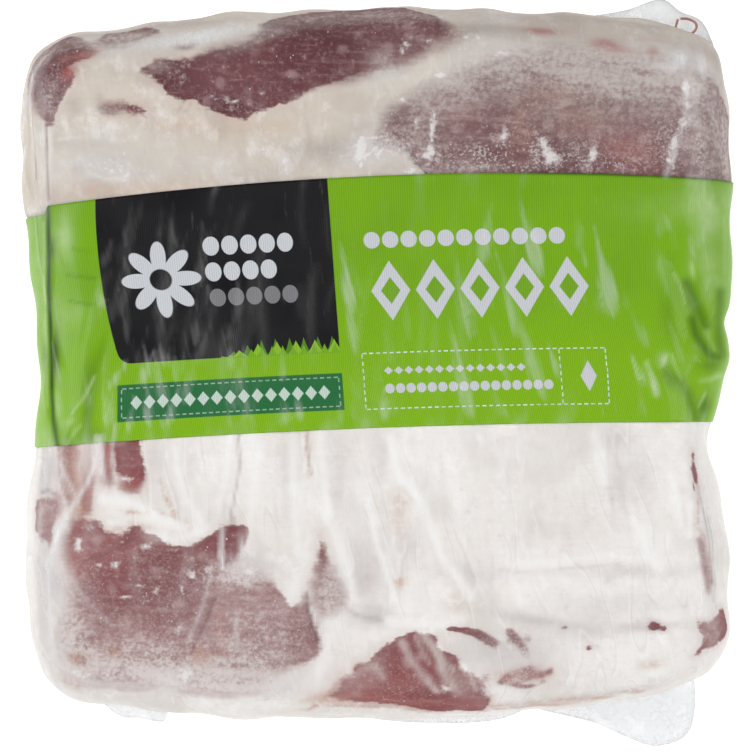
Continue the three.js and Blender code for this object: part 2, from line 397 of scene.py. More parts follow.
def wrinkle_height(x, y):
    """The height of all wrinkles at each place of the unrolled skin.

    Each wrinkle bows a little to one side and tapers to its ends."""
    total = np.zeros_like(x)
    for start, end, width, height in WRINKLES:
        box = np.ones_like(x, bool)
        for value, ends in ((x, (start[0], end[0])), (y, (start[1], end[1]))):
            box &= (value > min(ends) - WRINKLE_MARGIN) & (value < max(ends) + WRINKLE_MARGIN)
        px = x[box] - start[0]
        py = y[box] - start[1]
        along_x = end[0] - start[0]
        along_y = end[1] - start[1]
        length = math.hypot(along_x, along_y)
        share = (px * along_x + py * along_y) / length**2
        aside = (px * along_y - py * along_x) / length
        aside = aside + WRINKLE_BOW * length * np.sin(share * math.pi)
        taper = np.clip(4 * share * (1 - share), 0, 1) ** 0.7
        total[box] += height * taper * bell(aside, 0, width)
    return total


def unrolled(points, normals):
    """Where each point would lie if the sides were rolled out flat around the top."""
    drop = np.clip(PACK_HEIGHT - points[:, 2], 0, PACK_HEIGHT)
    return points[:, :2] + normals[:, :2] * drop[:, None]


# The outlines and spots below were drawn on the pack's flat top, a little larger than it is.
DRAWN_SCALE = 0.99

# Where muscle shows through the fat, as outlines in mm on the unrolled skin. The points are
# corners of a smooth closed curve; places past the edges lie on the sides.
MUSCLES = {
    "far left corner": [
        (-124, 96), (-125, 106), (-118, 116), (-108, 122), (-99, 120), (-94, 113), (-91.6, 107.4),
        (-97, 104), (-101, 101.6), (-98.6, 98), (-101, 93), (-104.6, 88), (-107, 82.6), (-111, 85),
        (-117, 90)],
    "far muscle": [
        (-77, 100.5), (-72, 97), (-69, 93.5), (-64, 90.5), (-59, 90), (-54, 87), (-48, 85),
        (-43, 83.8), (-39, 86.5), (-33, 88), (-27, 89.5), (-20, 94), (-12, 96), (-4, 97.5),
        (4, 100), (11, 102), (17, 105), (23, 109), (27, 112), (24, 119), (18, 128), (0, 138),
        (-25, 132), (-38, 122), (-38, 116), (-44, 111.5), (-54, 108), (-60, 104.5), (-70, 104.5)],
    "right muscle": [
        (0.5, 79), (5, 88), (14, 93), (23, 97), (33, 101), (44, 105), (56, 108), (72, 107),
        (88, 104), (104, 103), (118, 96), (134, 84), (134, 62), (110, 50), (60, 50), (20, 58),
        (16, 66), (11, 72), (5, 75), (1.5, 75.5)],
    "far slit": [(-89.5, 88.5), (-85, 90), (-80, 89.5), (-75.5, 86.6), (-80, 86), (-88, 86.5)],
    "far sliver": [
        (-93, 115), (-88, 122), (-76, 124), (-72, 118), (-78, 113), (-86, 110.6), (-91, 111.4)],
    "far speck": [(-66.5, 109), (-63, 110.8), (-60, 109.2), (-63, 107.6)],
    "near left strip": [
        (-86, -14), (-78, -14), (-77, -26), (-75, -32.5), (-78, -37.5), (-82.5, -36.5),
        (-82, -33), (-85.5, -31), (-86.5, -24)],
    "near left red strip": [(-90, -16), (-86.5, -16), (-86.5, -33), (-88.5, -34.5), (-90, -28)],
    "near left muscle": [
        (-101, -50), (-97.1, -46), (-92, -48), (-88, -51.4), (-83, -51.4), (-79.2, -49.2),
        (-74.4, -51.4), (-71.3, -54), (-66, -55.3), (-60, -55.1), (-55, -52), (-50, -49.5),
        (-45, -49.5), (-42, -50), (-42.5, -55), (-45.5, -60.5), (-48, -63), (-42, -64.5),
        (-36, -66.5), (-31, -71), (-27, -75.5), (-22.5, -71.5), (-20, -80), (-18, -88),
        (-21, -93), (-28, -95.5), (-34, -99), (-40, -104), (-52, -106), (-63, -103.5),
        (-68, -98), (-74, -102), (-86, -104), (-97, -100), (-104, -92), (-104, -83),
        (-100.5, -75), (-99.5, -66), (-102.5, -58)],
    "near middle slit": [
        (-17.6, -50.6), (-16.4, -56), (-15.6, -60), (-13.6, -65), (-10.8, -71),
        (-12.5, -76.5), (-17, -78.5), (-20.8, -74.5), (-20.6, -67), (-19, -61), (-18.7, -56)],
    "near middle muscle": [
        (-16, -106.5), (-12, -103), (-11.6, -99), (-7.4, -98), (-7, -94.6), (-2.4, -93.6),
        (1, -89.4), (6, -85.6), (13, -84.2), (19.6, -85), (21, -88.6), (26.4, -92), (28, -96),
        (33.4, -98.6), (36, -103), (37.8, -110), (36.4, -117), (33, -121.4), (26, -119.4),
        (17, -115.6), (8, -112), (-2, -110.2), (-9, -109)],
    "right corner triangle": [
        (105.5, -80.5), (112, -80.5), (122, -76), (126, -88), (113, -90), (105, -93), (109, -87)],
    "right strip": [(106.6, -54), (109, -54.6), (111.8, -62), (111.6, -71), (109, -66)],
    "right high strip": [(106, -26), (107.4, -26), (108, -34), (106.4, -33)],
    "left pink strip": [(-104, -20), (-98.2, -20), (-97.4, -31), (-99.2, -41.5), (-101.6, -34)],
    "left thin strip": [(-96.4, -38), (-94.4, -30), (-93, -34), (-93.4, -43), (-95.4, -45)],
    "left side muscle": [
        (-118, -41), (-108, -40), (-104, -39), (-103, -44), (-105.5, -50), (-107, -56),
        (-110, -54), (-118, -50)],
}

# Where muscle only just shows, as ragged specks. These and all lists of soft spots below hold
# x, y, reach across, reach along, a turn in degrees if the spot is turned, and a strength.
SPECKLED = [
    # near right, high
    (29.4, -83.4, 3.9, 1.26, -8, 1.25), (34.6, -85, 3.9, 2.1, -24, 1.4),
    (38.4, -87.4, 2.6, 1.82, -30, 1.3), (24.4, -82.8, 2.6, 1.12, 1.05),
    (43.8, -83.8, 1.95, 1.68, 1.25), (46.2, -86.4, 2.6, 1.68, -48, 1.4),
    (48.8, -90, 2.6, 1.54, -60, 1.35), (43.4, -87, 1.3, 1.26, 1), (49.8, -86, 1.3, 1.4, 1),
    # near right, low
    (50, -96.2, 3.12, 1.68, 6, 1.3), (54, -98.2, 3.12, 1.4, 10, 1.25), (57, -96.4, 1.56, 1.54, 1.1),
    (46.2, -97.8, 2.34, 1.54, -20, 1.25), (42.8, -98.8, 1.95, 1.68, 1.25),
    (49.6, -99.4, 1.56, 1.12, 1.1), (49.6, -98.6, 8, 3.2, 4, 0.45), (41, -101, 1.56, 1.26, 1.1),
    (45.8, -102, 2.86, 1.4, -10, 1.25), (50.6, -103, 3.12, 1.26, 10, 1.2),
    (55, -101, 1.43, 1.12, 1.05),
    # near right, towards the corner
    (61.6, -82.4, 2.4, 1.3, 20, 1.1), (69.6, -89, 1.5, 1.3, 1.25), (91, -81.8, 2.6, 1.7, 1.6),
    (94.4, -82.8, 1.4, 1.2, 1.1), (83.6, -82, 3, 0.9, 0.95), (98, -81, 2.4, 0.9, 0.9),
    # elsewhere
    (-62.5, 108.6, 3.4, 1.8, 1.35), (100.4, -37.4, 2, 1.6, 0.7), (105.6, -36, 1, 3, 0.9),
    (-64.4, 87.6, 1.6, 2.4, 0.7), (-3, -66, 4, 6, 0.62), (35, -99.4, 5, 3, 40, 0.9),
]
# Frost under the film, which greys muscle and whitens fat.
FROST = [
    # far left
    (-119, 102, 5, 18, -20, 0.7), (-109, 91, 5, 7, 0.35), (-90, 70, 22, 9, 0.75),
    (-108, 113, 14, 4, 30, 0.35), (-52, 68, 14, 5, 0.35),
    # above the band and at the far rim, where the third spot is a painted sheen of the film
    (-2, 73, 15, 7, 8, 0.55), (29, 68, 12, 2.6, 0.6), (-60, 113, 20, 3.8, 12, 0.9),
    (-85, 116, 16, 8, 0.75), (-8, 127, 60, 6, 0.5), (1.5, 102.5, 4, 5, 0.5),
    (2, 98, 12, 2.2, 20, 0.7), (-24, 91, 6, 1.6, 28, 0.3), (-40, 111, 12, 2.6, 24, 0.5),
    (-72, 101.5, 5, 2.4, 0.4),
    # right muscle
    (68, 90, 50, 20, -4, 0.42), (70, 102, 44, 9, -4, 0.72), (96, 98, 18, 9, 0.35),
    (22, 92, 22, 7, 20, 0.55), (14, 76, 14, 8, 0.35), (108, 78, 8, 20, 0.45),
    (128, 74, 12, 20, 0.85),
    # near left muscle
    (-66, -76, 36, 20, 0.1), (-80, -96, 38, 9, 0.85), (-101, -82, 8, 20, 0.66),
    (-84, -84, 18, 8, 0.2),
    # the frosty muscle beside it
    (-38, -84, 20, 15, 0.6), (-45, -65, 10, 5, 0.8), (-44, -101, 24, 5, 0.9),
    # near middle
    (-15.5, -72, 6, 9, 0.75), (0, -95, 3, 5, -30, 0.45), (27, -101, 5, 5, -30, 0.3),
    # both sides and near right
    (-112, -45, 8, 12, 0.6), (-101, -30, 5, 12, 0.35), (110, -62, 5, 14, 0.45),
    (112, -86, 8, 8, 0.4), (46, -92, 16, 12, 0.62),
]
# Where fat is so thin that it looks grey or mauve. At the far right the grey is partly painted
# shade, where the top slopes away from the light.
THIN_FAT_AND_SHADE = [
    # far right and along the seam
    (74, 113, 56, 7, -4, 0.42), (106, 104, 12, 10, 0.4), (122, 92, 8, 22, 0.7),
    (66, 126, 62, 6, -3, 0.5), (34, 116, 16, 4, -4, 0.5), (30, 101, 14, 3, 18, 0.45),
    # above the band
    (-13, 74, 13, 4.5, 0.75), (-38, 66, 14, 3, 8, 0.35), (0, 84, 10, 3, 20, 0.35),
    # far left
    (-95, 76, 13, 3, 0.3), (-97.6, 68, 2, 2, 0.6), (-92, 64.6, 3, 1.2, 10, 0.5),
    (-88, 71.4, 4, 1, -12, 0.4), (-77, 66, 3, 2, 0.3), (-99, 89, 4, 4, 0.35),
    # left side and its rims
    (-113, -66, 4, 40, 0.45), (-114, -34, 3.4, 14, 0.4), (-104, -102, 8, 8, 40, 0.3),
    (-91, 91, 2, 5, 0.3), (-90, 121, 40, 3, 8, 0.7), (-120, 96, 3, 24, 0.5), (-82, 108, 12, 3, 0.3),
    (-108, -60, 6, 20, 0.35), (-88, -104, 16, 3, 0.3),
    # near left
    (-72.5, -28, 3, 8, 0.4), (-62, -34, 3, 9, -16, 0.3), (-29, -34, 4, 16, 0.28),
    (-12, -32, 4, 14, 0.38),
    # near middle
    (1.3, -26, 3, 9, 0.45), (-40, -61, 8, 3, -20, 0.4), (-4, -64, 8, 11, 0.6),
    (10, -55, 5, 8, 0.42), (30, -64, 12, 4, -6, 0.38), (0, -79, 7, 4, 0.65), (38, -90, 14, 5, 0.45),
    # near right
    (77, -20, 8, 3.6, 0.5), (88, -32, 4, 10, 10, 0.3), (76, -75, 24, 5, 0.32),
    # left flap and heel
    (-110, -31, 4.4, 8, 0.85), (-103, -53, 4, 6, 0.5), (-104.6, -68, 4, 10, 0.6),
    # near right again, and its edge
    (46, -92, 12, 10, 0.4), (52, -80, 14, 2, -8, 0.6), (80, -36, 6, 10, 10, 0.35),
    (66, -50, 14, 4, 0.15), (84, -64, 24, 3, 0.45), (70, -84, 14, 3, 0.3), (89, -82, 12, 2, 0.5),
    (107, -40, 3, 16, 0.3), (66, -112, 34, 4, 10, 0.4),
]
# Where the border of muscle and fat is soft, because frost or thin fat lies over it.
SOFT_BORDERS = [
    # right muscle and far muscle
    (66, 106, 52, 9, -4, 1), (22, 95, 24, 6, 18, 0.9), (4, 77, 6, 6, 0.7), (24, 112, 9, 6, 0.8),
    (-2, 97, 14, 3.5, 18, 0.6), (-46, 112, 16, 4, 20, 0.5),
    # near left
    (-78, -101, 40, 8, 1), (-102, -82, 7, 22, 1), (-42, -103, 22, 6, 0.9), (-42, -64, 9, 5, 1),
    (-15.5, -71, 8, 10, 0.7), (-101, -36, 6, 16, 0.5), (-88, -30, 3, 10, 0.5),
    (-80, -36, 6, 3, 0.4),
    # right, far left and near right
    (110, -60, 6, 14, 0.5), (-80, 112, 22, 4, 1), (-88, 88, 5, 4, 0.6), (-116, 96, 4, 16, 0.7),
    (48, -92, 14, 14, 0.35),
]
# Ragged white patches: fat flecks, trapped air and frozen drops, and painted glints of the film
# along the seam and on the near left muscle.
PATCHES_AND_GLINTS = [
    # right muscle
    (18.5, 81.5, 1.1, 5.5, -6, 1), (13, 82.5, 0.9, 2.6, 0.7), (18, 72.5, 3.2, 2.2, 1),
    (42, 78.5, 1.4, 3, -10, 1), (54.5, 76, 1.8, 4, 26, 0.9), (58, 71, 3.2, 2.8, 24, 0.9),
    (71, 72.5, 1.7, 3.8, -8, 1), (97.5, 76, 1.5, 3.5, -14, 1), (96, 70, 1.8, 3.2, 30, 0.8),
    (100.5, 83, 2.2, 2.6, 0.75), (102, 91, 1.3, 5, 8, 0.7), (101.6, 95.6, 1.8, 2.2, 0.9),
    (112, 87, 1, 2.6, 0.5), (42, 107, 6, 2.2, 10, 0.6), (34, 103.5, 6, 1.6, 18, 0.4),
    # far right and far left
    (87.5, 100.6, 1.6, 1.2, 0.55), (-86, 69, 20, 6, 0.52), (-98, 64.4, 3, 2, 0.3),
    (-83, 64.6, 3.4, 2.4, 0.35),
    # above the band
    (-56, 70, 16, 4, 6, 0.32), (-8, 72, 16, 6, 6, 0.38), (-29.5, 69, 1.6, 4.2, 0.9),
    (-5.2, 72.5, 1, 5, 0.7), (12, 67, 7, 2, 0.7),
    # along the seam
    (8, 90.5, 2.6, 0.9, 15, 0.8), (21, 98.5, 2.4, 1, 10, 0.8), (0, 74, 13, 5, 8, 0.42),
    (-3, 78, 5, 0.8, 4, 0.7), (28, 107.5, 5, 5, 20, 0.5), (24, 101, 5, 3, 18, 0.42),
    (33, 112, 4.4, 2.4, 0.5),
    # far muscle
    (-46, 90, 2.2, 0.7, 20, 0.85), (-53.4, 91, 1.8, 0.6, -24, 0.8), (-41, 88.8, 0.7, 1.6, 30, 0.8),
    (-37, 92.6, 1.4, 0.6, 10, 0.7), (9.5, 109.5, 1.5, 2, 20, 0.85), (8.6, 106, 1.2, 1.4, 20, 0.7),
    (17.5, 110.2, 1.1, 1.5, 0.8), (-63.5, 98.5, 2.2, 3, 30, 0.42), (-49, 89.5, 0.7, 2, -10, 0.6),
    # near left muscle
    (-90.6, -61.9, 1.6, 1, -10, 0.9), (-85.3, -61.6, 1.5, 1.2, 0.9), (-97.4, -55.3, 1.4, 2.8, 1),
    (-75.2, -55.6, 2.2, 1.5, 20, 0.7), (-66, -58.4, 1.1, 2.5, -35, 0.6),
    (-60.3, -64.5, 1.7, 1.6, 0.9), (-55, -63.7, 2.4, 1.4, 12, 0.8), (-78.6, -60.1, 2, 1, 10, 0.5),
    (-68.9, -63.9, 1.2, 1.1, 0.55), (-71, -69.3, 1.1, 1.1, 0.55), (-64, -82.2, 1.5, 2, -20, 0.4),
    (-55.4, -69.3, 3.4, 3.4, 0.36), (-93.7, -47.9, 2, 1.2, 0.45), (-75, -73.4, 1.3, 0.8, 30, 0.5),
    (-82.7, -72.4, 2.2, 0.6, 15, 1), (-72, -70.6, 1.2, 1.3, 0.75), (-63.6, -69.8, 1, 1.5, 0.85),
    (-78, -68.6, 3, 0.6, -5, 0.6), (-64.7, -83.4, 1, 2.2, 0.6), (-94.5, -50.5, 1.5, 1.3, 0.5),
    (-84, -54, 4, 0.8, -38, 0.4),
    # left strip, heel and foot
    (-81.8, -33.7, 2.2, 1, 1), (-104.6, -66, 2.6, 6, 0.45), (-106, -80, 2.4, 7, 12, 0.42),
    (-99, -98, 5, 3, 0.7), (-63, -98, 4, 5, -20, 0.8), (-84, -99, 12, 2.6, 0.5),
    # near middle
    (23.2, -102.8, 2.4, 2.2, -30, 0.8), (36.3, -105.3, 1.6, 3.6, 8, 0.9), (-14, -88, 1, 5, 12, 0.6),
    (-41.9, -62.8, 5, 3.4, -20, 0.8),
]
# Where muscle or its juice shows redder, and where fat is stained tan.
RED_SPOTS = [
    # far left corner and far rim
    (-96, 106.5, 4.4, 2, 15, 1), (-103.5, 106, 3, 2.6, 30, 0.5), (-100.8, 99.5, 2.4, 3.2, -30, 1),
    (-79, 88, 3, 1.6, 0.2), (54.6, 115.4, 5.4, 2, -4, 0.9), (75.4, 109.6, 4.8, 2.6, -8, 1.2),
    (83, 107, 6, 2, -10, 0.4), (91, 106.4, 1.8, 2.4, 20, 0.9),
    # right muscle
    (83, 74, 9, 6, -20, 0.55), (28, 86, 9, 2.4, 10, 0.25),
    # near middle
    (6, -101, 20, 8, 4, 0.38), (14, -111, 24, 4, -8, 0.5),
    # near left and near right
    (-80.5, -35, 4, 3, 0.7), (-88, -26, 1.6, 9, 0.8), (-98, -30, 7, 12, 0.5),
    (-94.4, -38, 1.6, 7, 0.7), (-98, -62, 5, 8, 0.35), (-86, -58, 9, 6, 0.25),
    (-50.5, -86, 1.8, 8, 5, 0.9), (50, -98, 7, 3, 0.6),
]
STAINS = [
    # left strips
    (-98.4, -32, 3.6, 9, 1), (-97, -44, 4, 4, 0.6),
    # near rim, near left and near middle
    (60, -113, 26, 3, 6, 0.32), (-98, -93, 4.4, 2.6, 0.8), (-86, -90.3, 2.8, 2, 0.7),
    (-102, -103, 5, 5, -30, 0.7), (-57.5, -91.6, 4, 3, 0.9), (7.6, -67.3, 2, 2.1, 1),
    (7.6, -42, 2.6, 5, -10, 0.5), (8, -50, 3, 4, 0.3), (26, -75, 4, 2.4, -30, 0.4),
    # near right and near edge
    (90, -95, 4.4, 1.8, 0.65), (42, -98.5, 4, 2, -10, 0.6), (-12, -108, 8, 2, 8, 0.6),
    (-20, -107, 6, 2, 20, 0.5),
    # far left and far middle
    (-40, 82, 14, 3, 0.3), (-64, 82, 12, 2.5, -4, 0.35), (-70, 62, 24, 3, 4, 0.35),
    (-92, 61, 10, 3, 0.4),
    # right muscle and far right
    (47.5, 79, 4.4, 9, 0.5), (66, 84, 8, 6, 0.35), (58, 92, 8, 4, 0.3),
    (112, 104, 1.6, 6, -14, 0.8),
]
# Tan lines in folds of fat, white lines of painted shine where the film shines on it, and dark
# lines, painted shade where the film is drawn into a crease and real seams and threads elsewhere:
# the places that a line runs through, its width and its strength.
TAN_LINES = [
    # bulge below the strip
    ((-81, -44.6), (-71, -44.4), (-63.4, -47), (-60.6, -49.8), 0.9, 0.9),
    ((-70.3, -34), (-68, -41.9), (-64, -47.4), 0.8, 0.8),
    ((-88, -51), (-81, -49), (-74, -49.4), 1, 0.4),
    # brown line and near rim
    ((-23.4, -14), (-22.6, -24), (-21.4, -33), 0.6, 0.8),
    ((30, -120), (46, -119), (60, -117), (72, -114), (86, -109), 1.2, 0.75),
    ((38, -115), (52, -114.6), (66, -112), 0.8, 0.7),
    ((54, -119), (70, -117), (90, -110), 0.8, 0.8),
    # near middle muscle
    ((-24, -116), (-17, -109), (-12.6, -101), 1.4, 0.9),
    ((-18, -111.4), (-4, -112.4), (8, -114.4), (20, -118.4), 1.1, 0.8),
    # right and left edges
    ((106.8, -28), (107.2, -40), (106.4, -49), 0.6, 0.8), ((105, -48.6), (109.6, -53.6), 0.7, 0.7),
    ((83, 113.6), (92, 112.6), (98.8, 110.4), 0.9, 0.7),
    ((-104.6, -26), (-100.6, -36), (-98.4, -39), 0.8, 0.5),
]
SHINE_LINES = [
    # near middle
    ((5, -20), (7.8, -32.4), (15.2, -41.4), (21.7, -58.5), (31, -72), 1.7, 0.9),
    ((-2.6, -40), (0.6, -56), (6.6, -73), 1, 0.7), ((24.2, -27), (27.5, -48), 1.7, 0.5),
    # near right
    ((71.6, -19), (73, -27), (74.4, -34), 2, 0.7), ((97, -33), (99.6, -49), 1.4, 0.7),
    ((103.7, -42), (102.8, -52), 1.1, 0.6), ((86.6, -50), (89, -58), (93, -63), 1.7, 0.7),
    ((44, -61.6), (60, -60.6), (78, -58), 1.2, 0.4),
    # beside the brown and mauve lines
    ((-27.4, -16), (-26.6, -38), (-25, -60), 1.7, 0.55),
    ((-18.4, -17), (-17, -34), (-15.4, -48), 1.4, 0.6),
    ((-40, -18), (-39.6, -36), (-42, -56), 2, 0.6),
    ((-47.4, -17), (-48.6, -30), (-51.4, -44), 1.1, 0.6),
    # bulge and strip
    ((-90, -40), (-80, -41), (-70, -47), (-58, -51), 2.4, 0.75),
    ((-66, -24), (-63, -38), (-57, -48), 1.6, 0.6),
    ((-74, -52.4), (-64, -53.4), (-55, -50), 2, 0.6),
    ((-89.8, -20), (-90, -28), (-88, -37), 1, 0.8),
    # beside the slit, and above the near middle muscle
    ((-23.6, -56), (-25.4, -66), (-29, -74), 2.4, 0.5),
    ((-13.6, -50), (-9.6, -62), (-8, -72), 2.2, 0.55),
    ((-14, -80), (-16.4, -90), (-20, -100), 2.6, 0.55), ((4, -80), (20, -82), (30, -79), 1.6, 0.5),
    # near middle muscle
    ((8.6, -87), (11.6, -93), (16.4, -99), (20, -104), 1.2, 1.1),
    ((15.8, -85), (20.4, -91), (22.6, -97), (25.6, -103), 1.5, 1.3),
    ((13, -85.6), (15.6, -90.6), (17.4, -94), 0.8, 0.9),
    ((20, -88), (22, -92.6), (25.4, -96.4), 0.9, 0.9),
    ((-5, -96.4), (-1, -95), (2.4, -98.6), 1.4, 0.7),
    ((28.6, -94.6), (31.4, -99), (33, -104), 0.9, 0.9),
    # far left
    ((-94, 66.6), (-88, 64.4), (-82, 64.6), 0.7, 0.7),
    ((-104, 77.6), (-92, 78.4), (-82, 77), 0.6, 0.5),
]
# Painted shade in pleats, valleys and folds of the film, and real seams, specks and threads.
SEAM_AND_SHADE_LINES = [
    # left pleat
    ((-108.4, 84), (-108.2, 72), (-107.6, 58), 0.5, 1),
    ((-116, 88), (-115.6, 78), (-114.6, 64), 0.45, 0.8),
    # near left valleys and the lines above
    ((-52.6, -72), (-56.2, -81), (-60.4, -90.3), 0.7, 0.55),
    ((-22.8, -71), (-21.6, -79), (-18.8, -87), 0.7, 0.8),
    ((-45, -18), (-44.6, -30), (-46.6, -41), (-48, -50), (-49.2, -63), 0.55, 0.6),
    ((-46.4, -46), (-46, -54), (-47.4, -62), 0.5, 0.45),
    ((-23, -14), (-22.2, -24), (-21.2, -32), 0.5, 0.5),
    # near right and near middle
    ((40, -63.6), (52, -64.4), (70, -62.4), (80, -61.8), 0.6, 0.2),
    ((-10, -76), (-6, -78.4), (2, -80), 0.9, 0.4),
    # left folds
    ((-105, -18), (-103.8, -32), (-100, -42), 0.5, 0.7),
    ((-94, -22), (-93.4, -32), (-96.6, -42), 0.5, 0.4),
    ((-114, -37.8), (-109, -37.5), (-105, -38.8), 0.7, 0.8),
    # right edge
    ((108, -36), (110.4, -50), (112.6, -64), (113.6, -74), 0.5, 0.6),
    ((111, -40), (113, -54), (114.6, -66), (115.4, -76), 0.45, 0.5),
    # far end
    ((30, 99.6), (38, 102), (46, 105.4), 0.8, 0.35), ((-64.5, 86.4), (-62.8, 90), 0.4, 0.55),
    ((-66.6, 88), (-62, 86.6), 0.35, 0.4), ((-61.6, 86.6), (-60.6, 89.6), 0.35, 0.4),
    ((-90, 92), (-89.6, 86.6), (-80, 85.4), 0.5, 0.4), ((-65, 108.4), (-61, 108.8), 1.1, 0.6),
    # specks, and threads in the muscle
    ((32, -84), (37, -86.4), 1, 0.5), ((45.4, -85.4), (47.4, -88), 1, 0.6),
    ((90, -82), (92, -81.8), 1.2, 0.7), ((-95, -60.5), (-88, -58), (-80, -53.5), 0.6, 0.5),
    ((-99, -68), (-90, -73), (-80, -76), 0.5, 0.35),
]
# Where fine crystals salt the surface, and where the film lies on the muscle in tiny loops.
SALT = [
    # right muscle
    (8, 77, 9, 4, 0.9), (30, 71, 18, 4.5, 1), (52, 74, 16, 7, 1), (74, 69, 16, 4, 0.8),
    (94, 78, 9, 9, 0.6), (108, 70, 5, 8, 0.7), (44, 103, 12, 4, 8, 0.4),
    # far left
    (-44, 87, 12, 3, -20, 0.5), (-106, 94, 5, 8, 0.4),
    # near left
    (-45, -65, 9, 5, 1), (-15, -68, 4, 8, 0.7), (-80, -90, 26, 7, 0.5), (-78, -70, 22, 14, 0.3),
    (14, -98, 16, 10, 0.1),
    # elsewhere
    (-83, 88, 7, 3, 0.7), (-36, -88, 18, 12, 0.4), (46, -92, 14, 12, 0.9),
]
LOOPS = [
    (-50, 88.6, 15, 3, -8, 0.5), (-34, 92, 10, 5, 0.3), (-70, 98, 6, 4, 0.4), (-108, 95, 4, 8, 0.6),
    (-76, -59, 6, 4, 0.8), (-66, -68, 8, 6, 0.7), (-84, -80, 10, 6, 0.6), (-47, -65, 7, 4, 1),
    (-30, -83, 10, 9, 0.45), (66, 76, 22, 8, 0.5),
]


def bend(before, here, after, beyond, steps):
    """Close places on the smooth curve from here to after, which the outer two places steer."""
    curve = []
    for t in np.arange(steps) / steps:
        curve.append(0.5 * (
            2 * here
            + (after - before) * t
            + (2 * before - 5 * here + 4 * after - beyond) * t**2
            + (3 * here - before - 3 * after + beyond) * t**3
        ))
    return np.stack(curve, 1).reshape(-1, here.shape[1])


def depth_inside(places, corners, reach):
    """How deep each place lies inside a smooth outline, in mm, and below 0 outside it."""
    corner = np.array(corners, float)
    loop = bend(*[np.roll(corner, shift, 0) for shift in (1, 0, -1, -2)], 7)
    depth = np.full(len(places), -float(reach))
    near = (places > loop.min(0) - reach).all(1) & (places < loop.max(0) + reach).all(1)
    inside = np.zeros(near.sum(), bool)
    closest = np.full(near.sum(), float(reach))
    x, y = places[near].T
    for start, end in zip(loop, np.roll(loop, -1, 0)):
        along = end - start
        share = ((x - start[0]) * along[0] + (y - start[1]) * along[1]) / (along @ along)
        share = np.clip(share, 0, 1)
        distance = np.hypot(x - start[0] - share * along[0], y - start[1] - share * along[1])
        closest = np.minimum(closest, distance)
        crosses = (start[1] > y) != (end[1] > y)
        if along[1]:
            at = start[0] + (y - start[1]) / along[1] * along[0]
            inside ^= crosses & (x < at)
    depth[near] = np.where(inside, closest, -closest)
    return depth


def blots(places, spots):
    """The sum of soft spots at each place."""
    total = np.zeros(len(places))
    for x, y, across, along, *turn, strength in spots:
        lean = math.radians(sum(turn))
        cos = math.cos(lean)
        sin = math.sin(lean)
        aside = (places[:, 0] - x) * cos + (places[:, 1] - y) * sin
        ahead = (places[:, 1] - y) * cos - (places[:, 0] - x) * sin
        total += strength * bell(aside, 0, across) * bell(ahead, 0, along)
    return total


def strokes(places, lines):
    """How strongly each place is covered by soft drawn lines."""
    total = np.zeros(len(places))
    x, y = places.T
    for *points, width, strength in lines:
        for start, end in zip(points, points[1:]):
            total = np.maximum(total, line_height(x, y, start, end, width, strength))
    return total


meat_colour, tree = new_material("lamb_muscle_and_fat")


def calc(operation, first, second=0.0, third=None, clamp=False):
    """One arithmetic node; each operand is a number or a socket."""
    inputs = {0: first, 1: second}
    if third is not None:
        inputs[2] = third
    return add_node("ShaderNodeMath", inputs, operation=operation, use_clamp=clamp).outputs[0]


def times(first, *others):
    for other in others:
        first = calc("MULTIPLY", first, other)
    return first


def plus(first, *others):
    for other in others:
        first = calc("ADD", first, other)
    return first


def minus(first, second, clamp=False):
    return calc("SUBTRACT", first, second, clamp=clamp)


def scaled(value, factor, start, clamp=False):
    """The value times a factor, counted from a start."""
    return calc("MULTIPLY_ADD", value, factor, start, clamp)


def away_from(value, middle):
    """How far a value lies from a middle, on either side."""
    return calc("ABSOLUTE", minus(value, middle))


def rise(value, low, high):
    """0 below low, 1 above high, and a smooth rise between."""
    inputs = {"Value": value, "From Min": low, "From Max": high}
    return add_node("ShaderNodeMapRange", inputs, interpolation_type="SMOOTHSTEP").outputs[0]


def tint(share, first, second):
    """The first colour, turned into the second by a share."""
    inputs = {0: share, 6: first, 7: second}
    return add_node("ShaderNodeMix", inputs, data_type="RGBA").outputs[2]


def layered(colour, layers):
    """A colour with others laid over it in turn, each by a share of its own."""
    for share, other in layers:
        colour = tint(share, colour, other)
    return colour


def grain(place, spacing, detail=2.0, roughness=0.5):
    """Noise about a spacing in mm apart, mostly between 0.3 and 0.7."""
    inputs = {"Vector": place, "Scale": 1 / spacing, "Detail": detail, "Roughness": roughness}
    return add_node("ShaderNodeTexNoise", inputs).outputs[0]


def swing(noise, height):
    """Noise as a swing of about a third of the height to either side of 0."""
    return times(minus(noise, 0.5), height)


def field(name):
    return add_node("ShaderNodeAttribute", attribute_name=name).outputs["Fac"]


def millimetres(stretch=(1, 1, 1), turn=0.0):
    """The object's own coordinates in mm, for a grain stretched along axes turned about Z."""
    place = add_node("ShaderNodeTexCoord").outputs["Object"]
    scale = [value * MM for value in stretch]
    inputs = {"Vector": place, "Scale": scale, "Rotation": (0, 0, math.radians(turn))}
    return add_node("ShaderNodeMapping", inputs, vector_type="TEXTURE").outputs[0]


def bumped(height, strength, depth):
    """The normal of a surface with fine relief, its depth in mm."""
    inputs = {"Height": height, "Strength": strength, "Distance": depth * MM}
    return add_node("ShaderNodeBump", inputs).outputs[0]


place = millimetres()
broad = grain(place, 24, 3)
patchy = grain(place, 11, 3, 0.6)
fine = grain(place, 3.2, 4, 0.6)
specks = grain(place, 1.5, 3, 0.6)
crystals = grain(place, 0.85, 2, 0.6)
lines_across = grain(millimetres((7, 0.6, 1), -2), 1.4, 3)
frost_lines = grain(millimetres((5, 0.9, 1), -3), 2.4, 4, 0.6)
streaks_up = grain(millimetres((0.9, 4, 1), 8), 4.2, 3, 0.55)
crinkled = grain(millimetres((0.8, 1.6, 1), 8), 6, 4, 0.55)
white = field("whiteness")

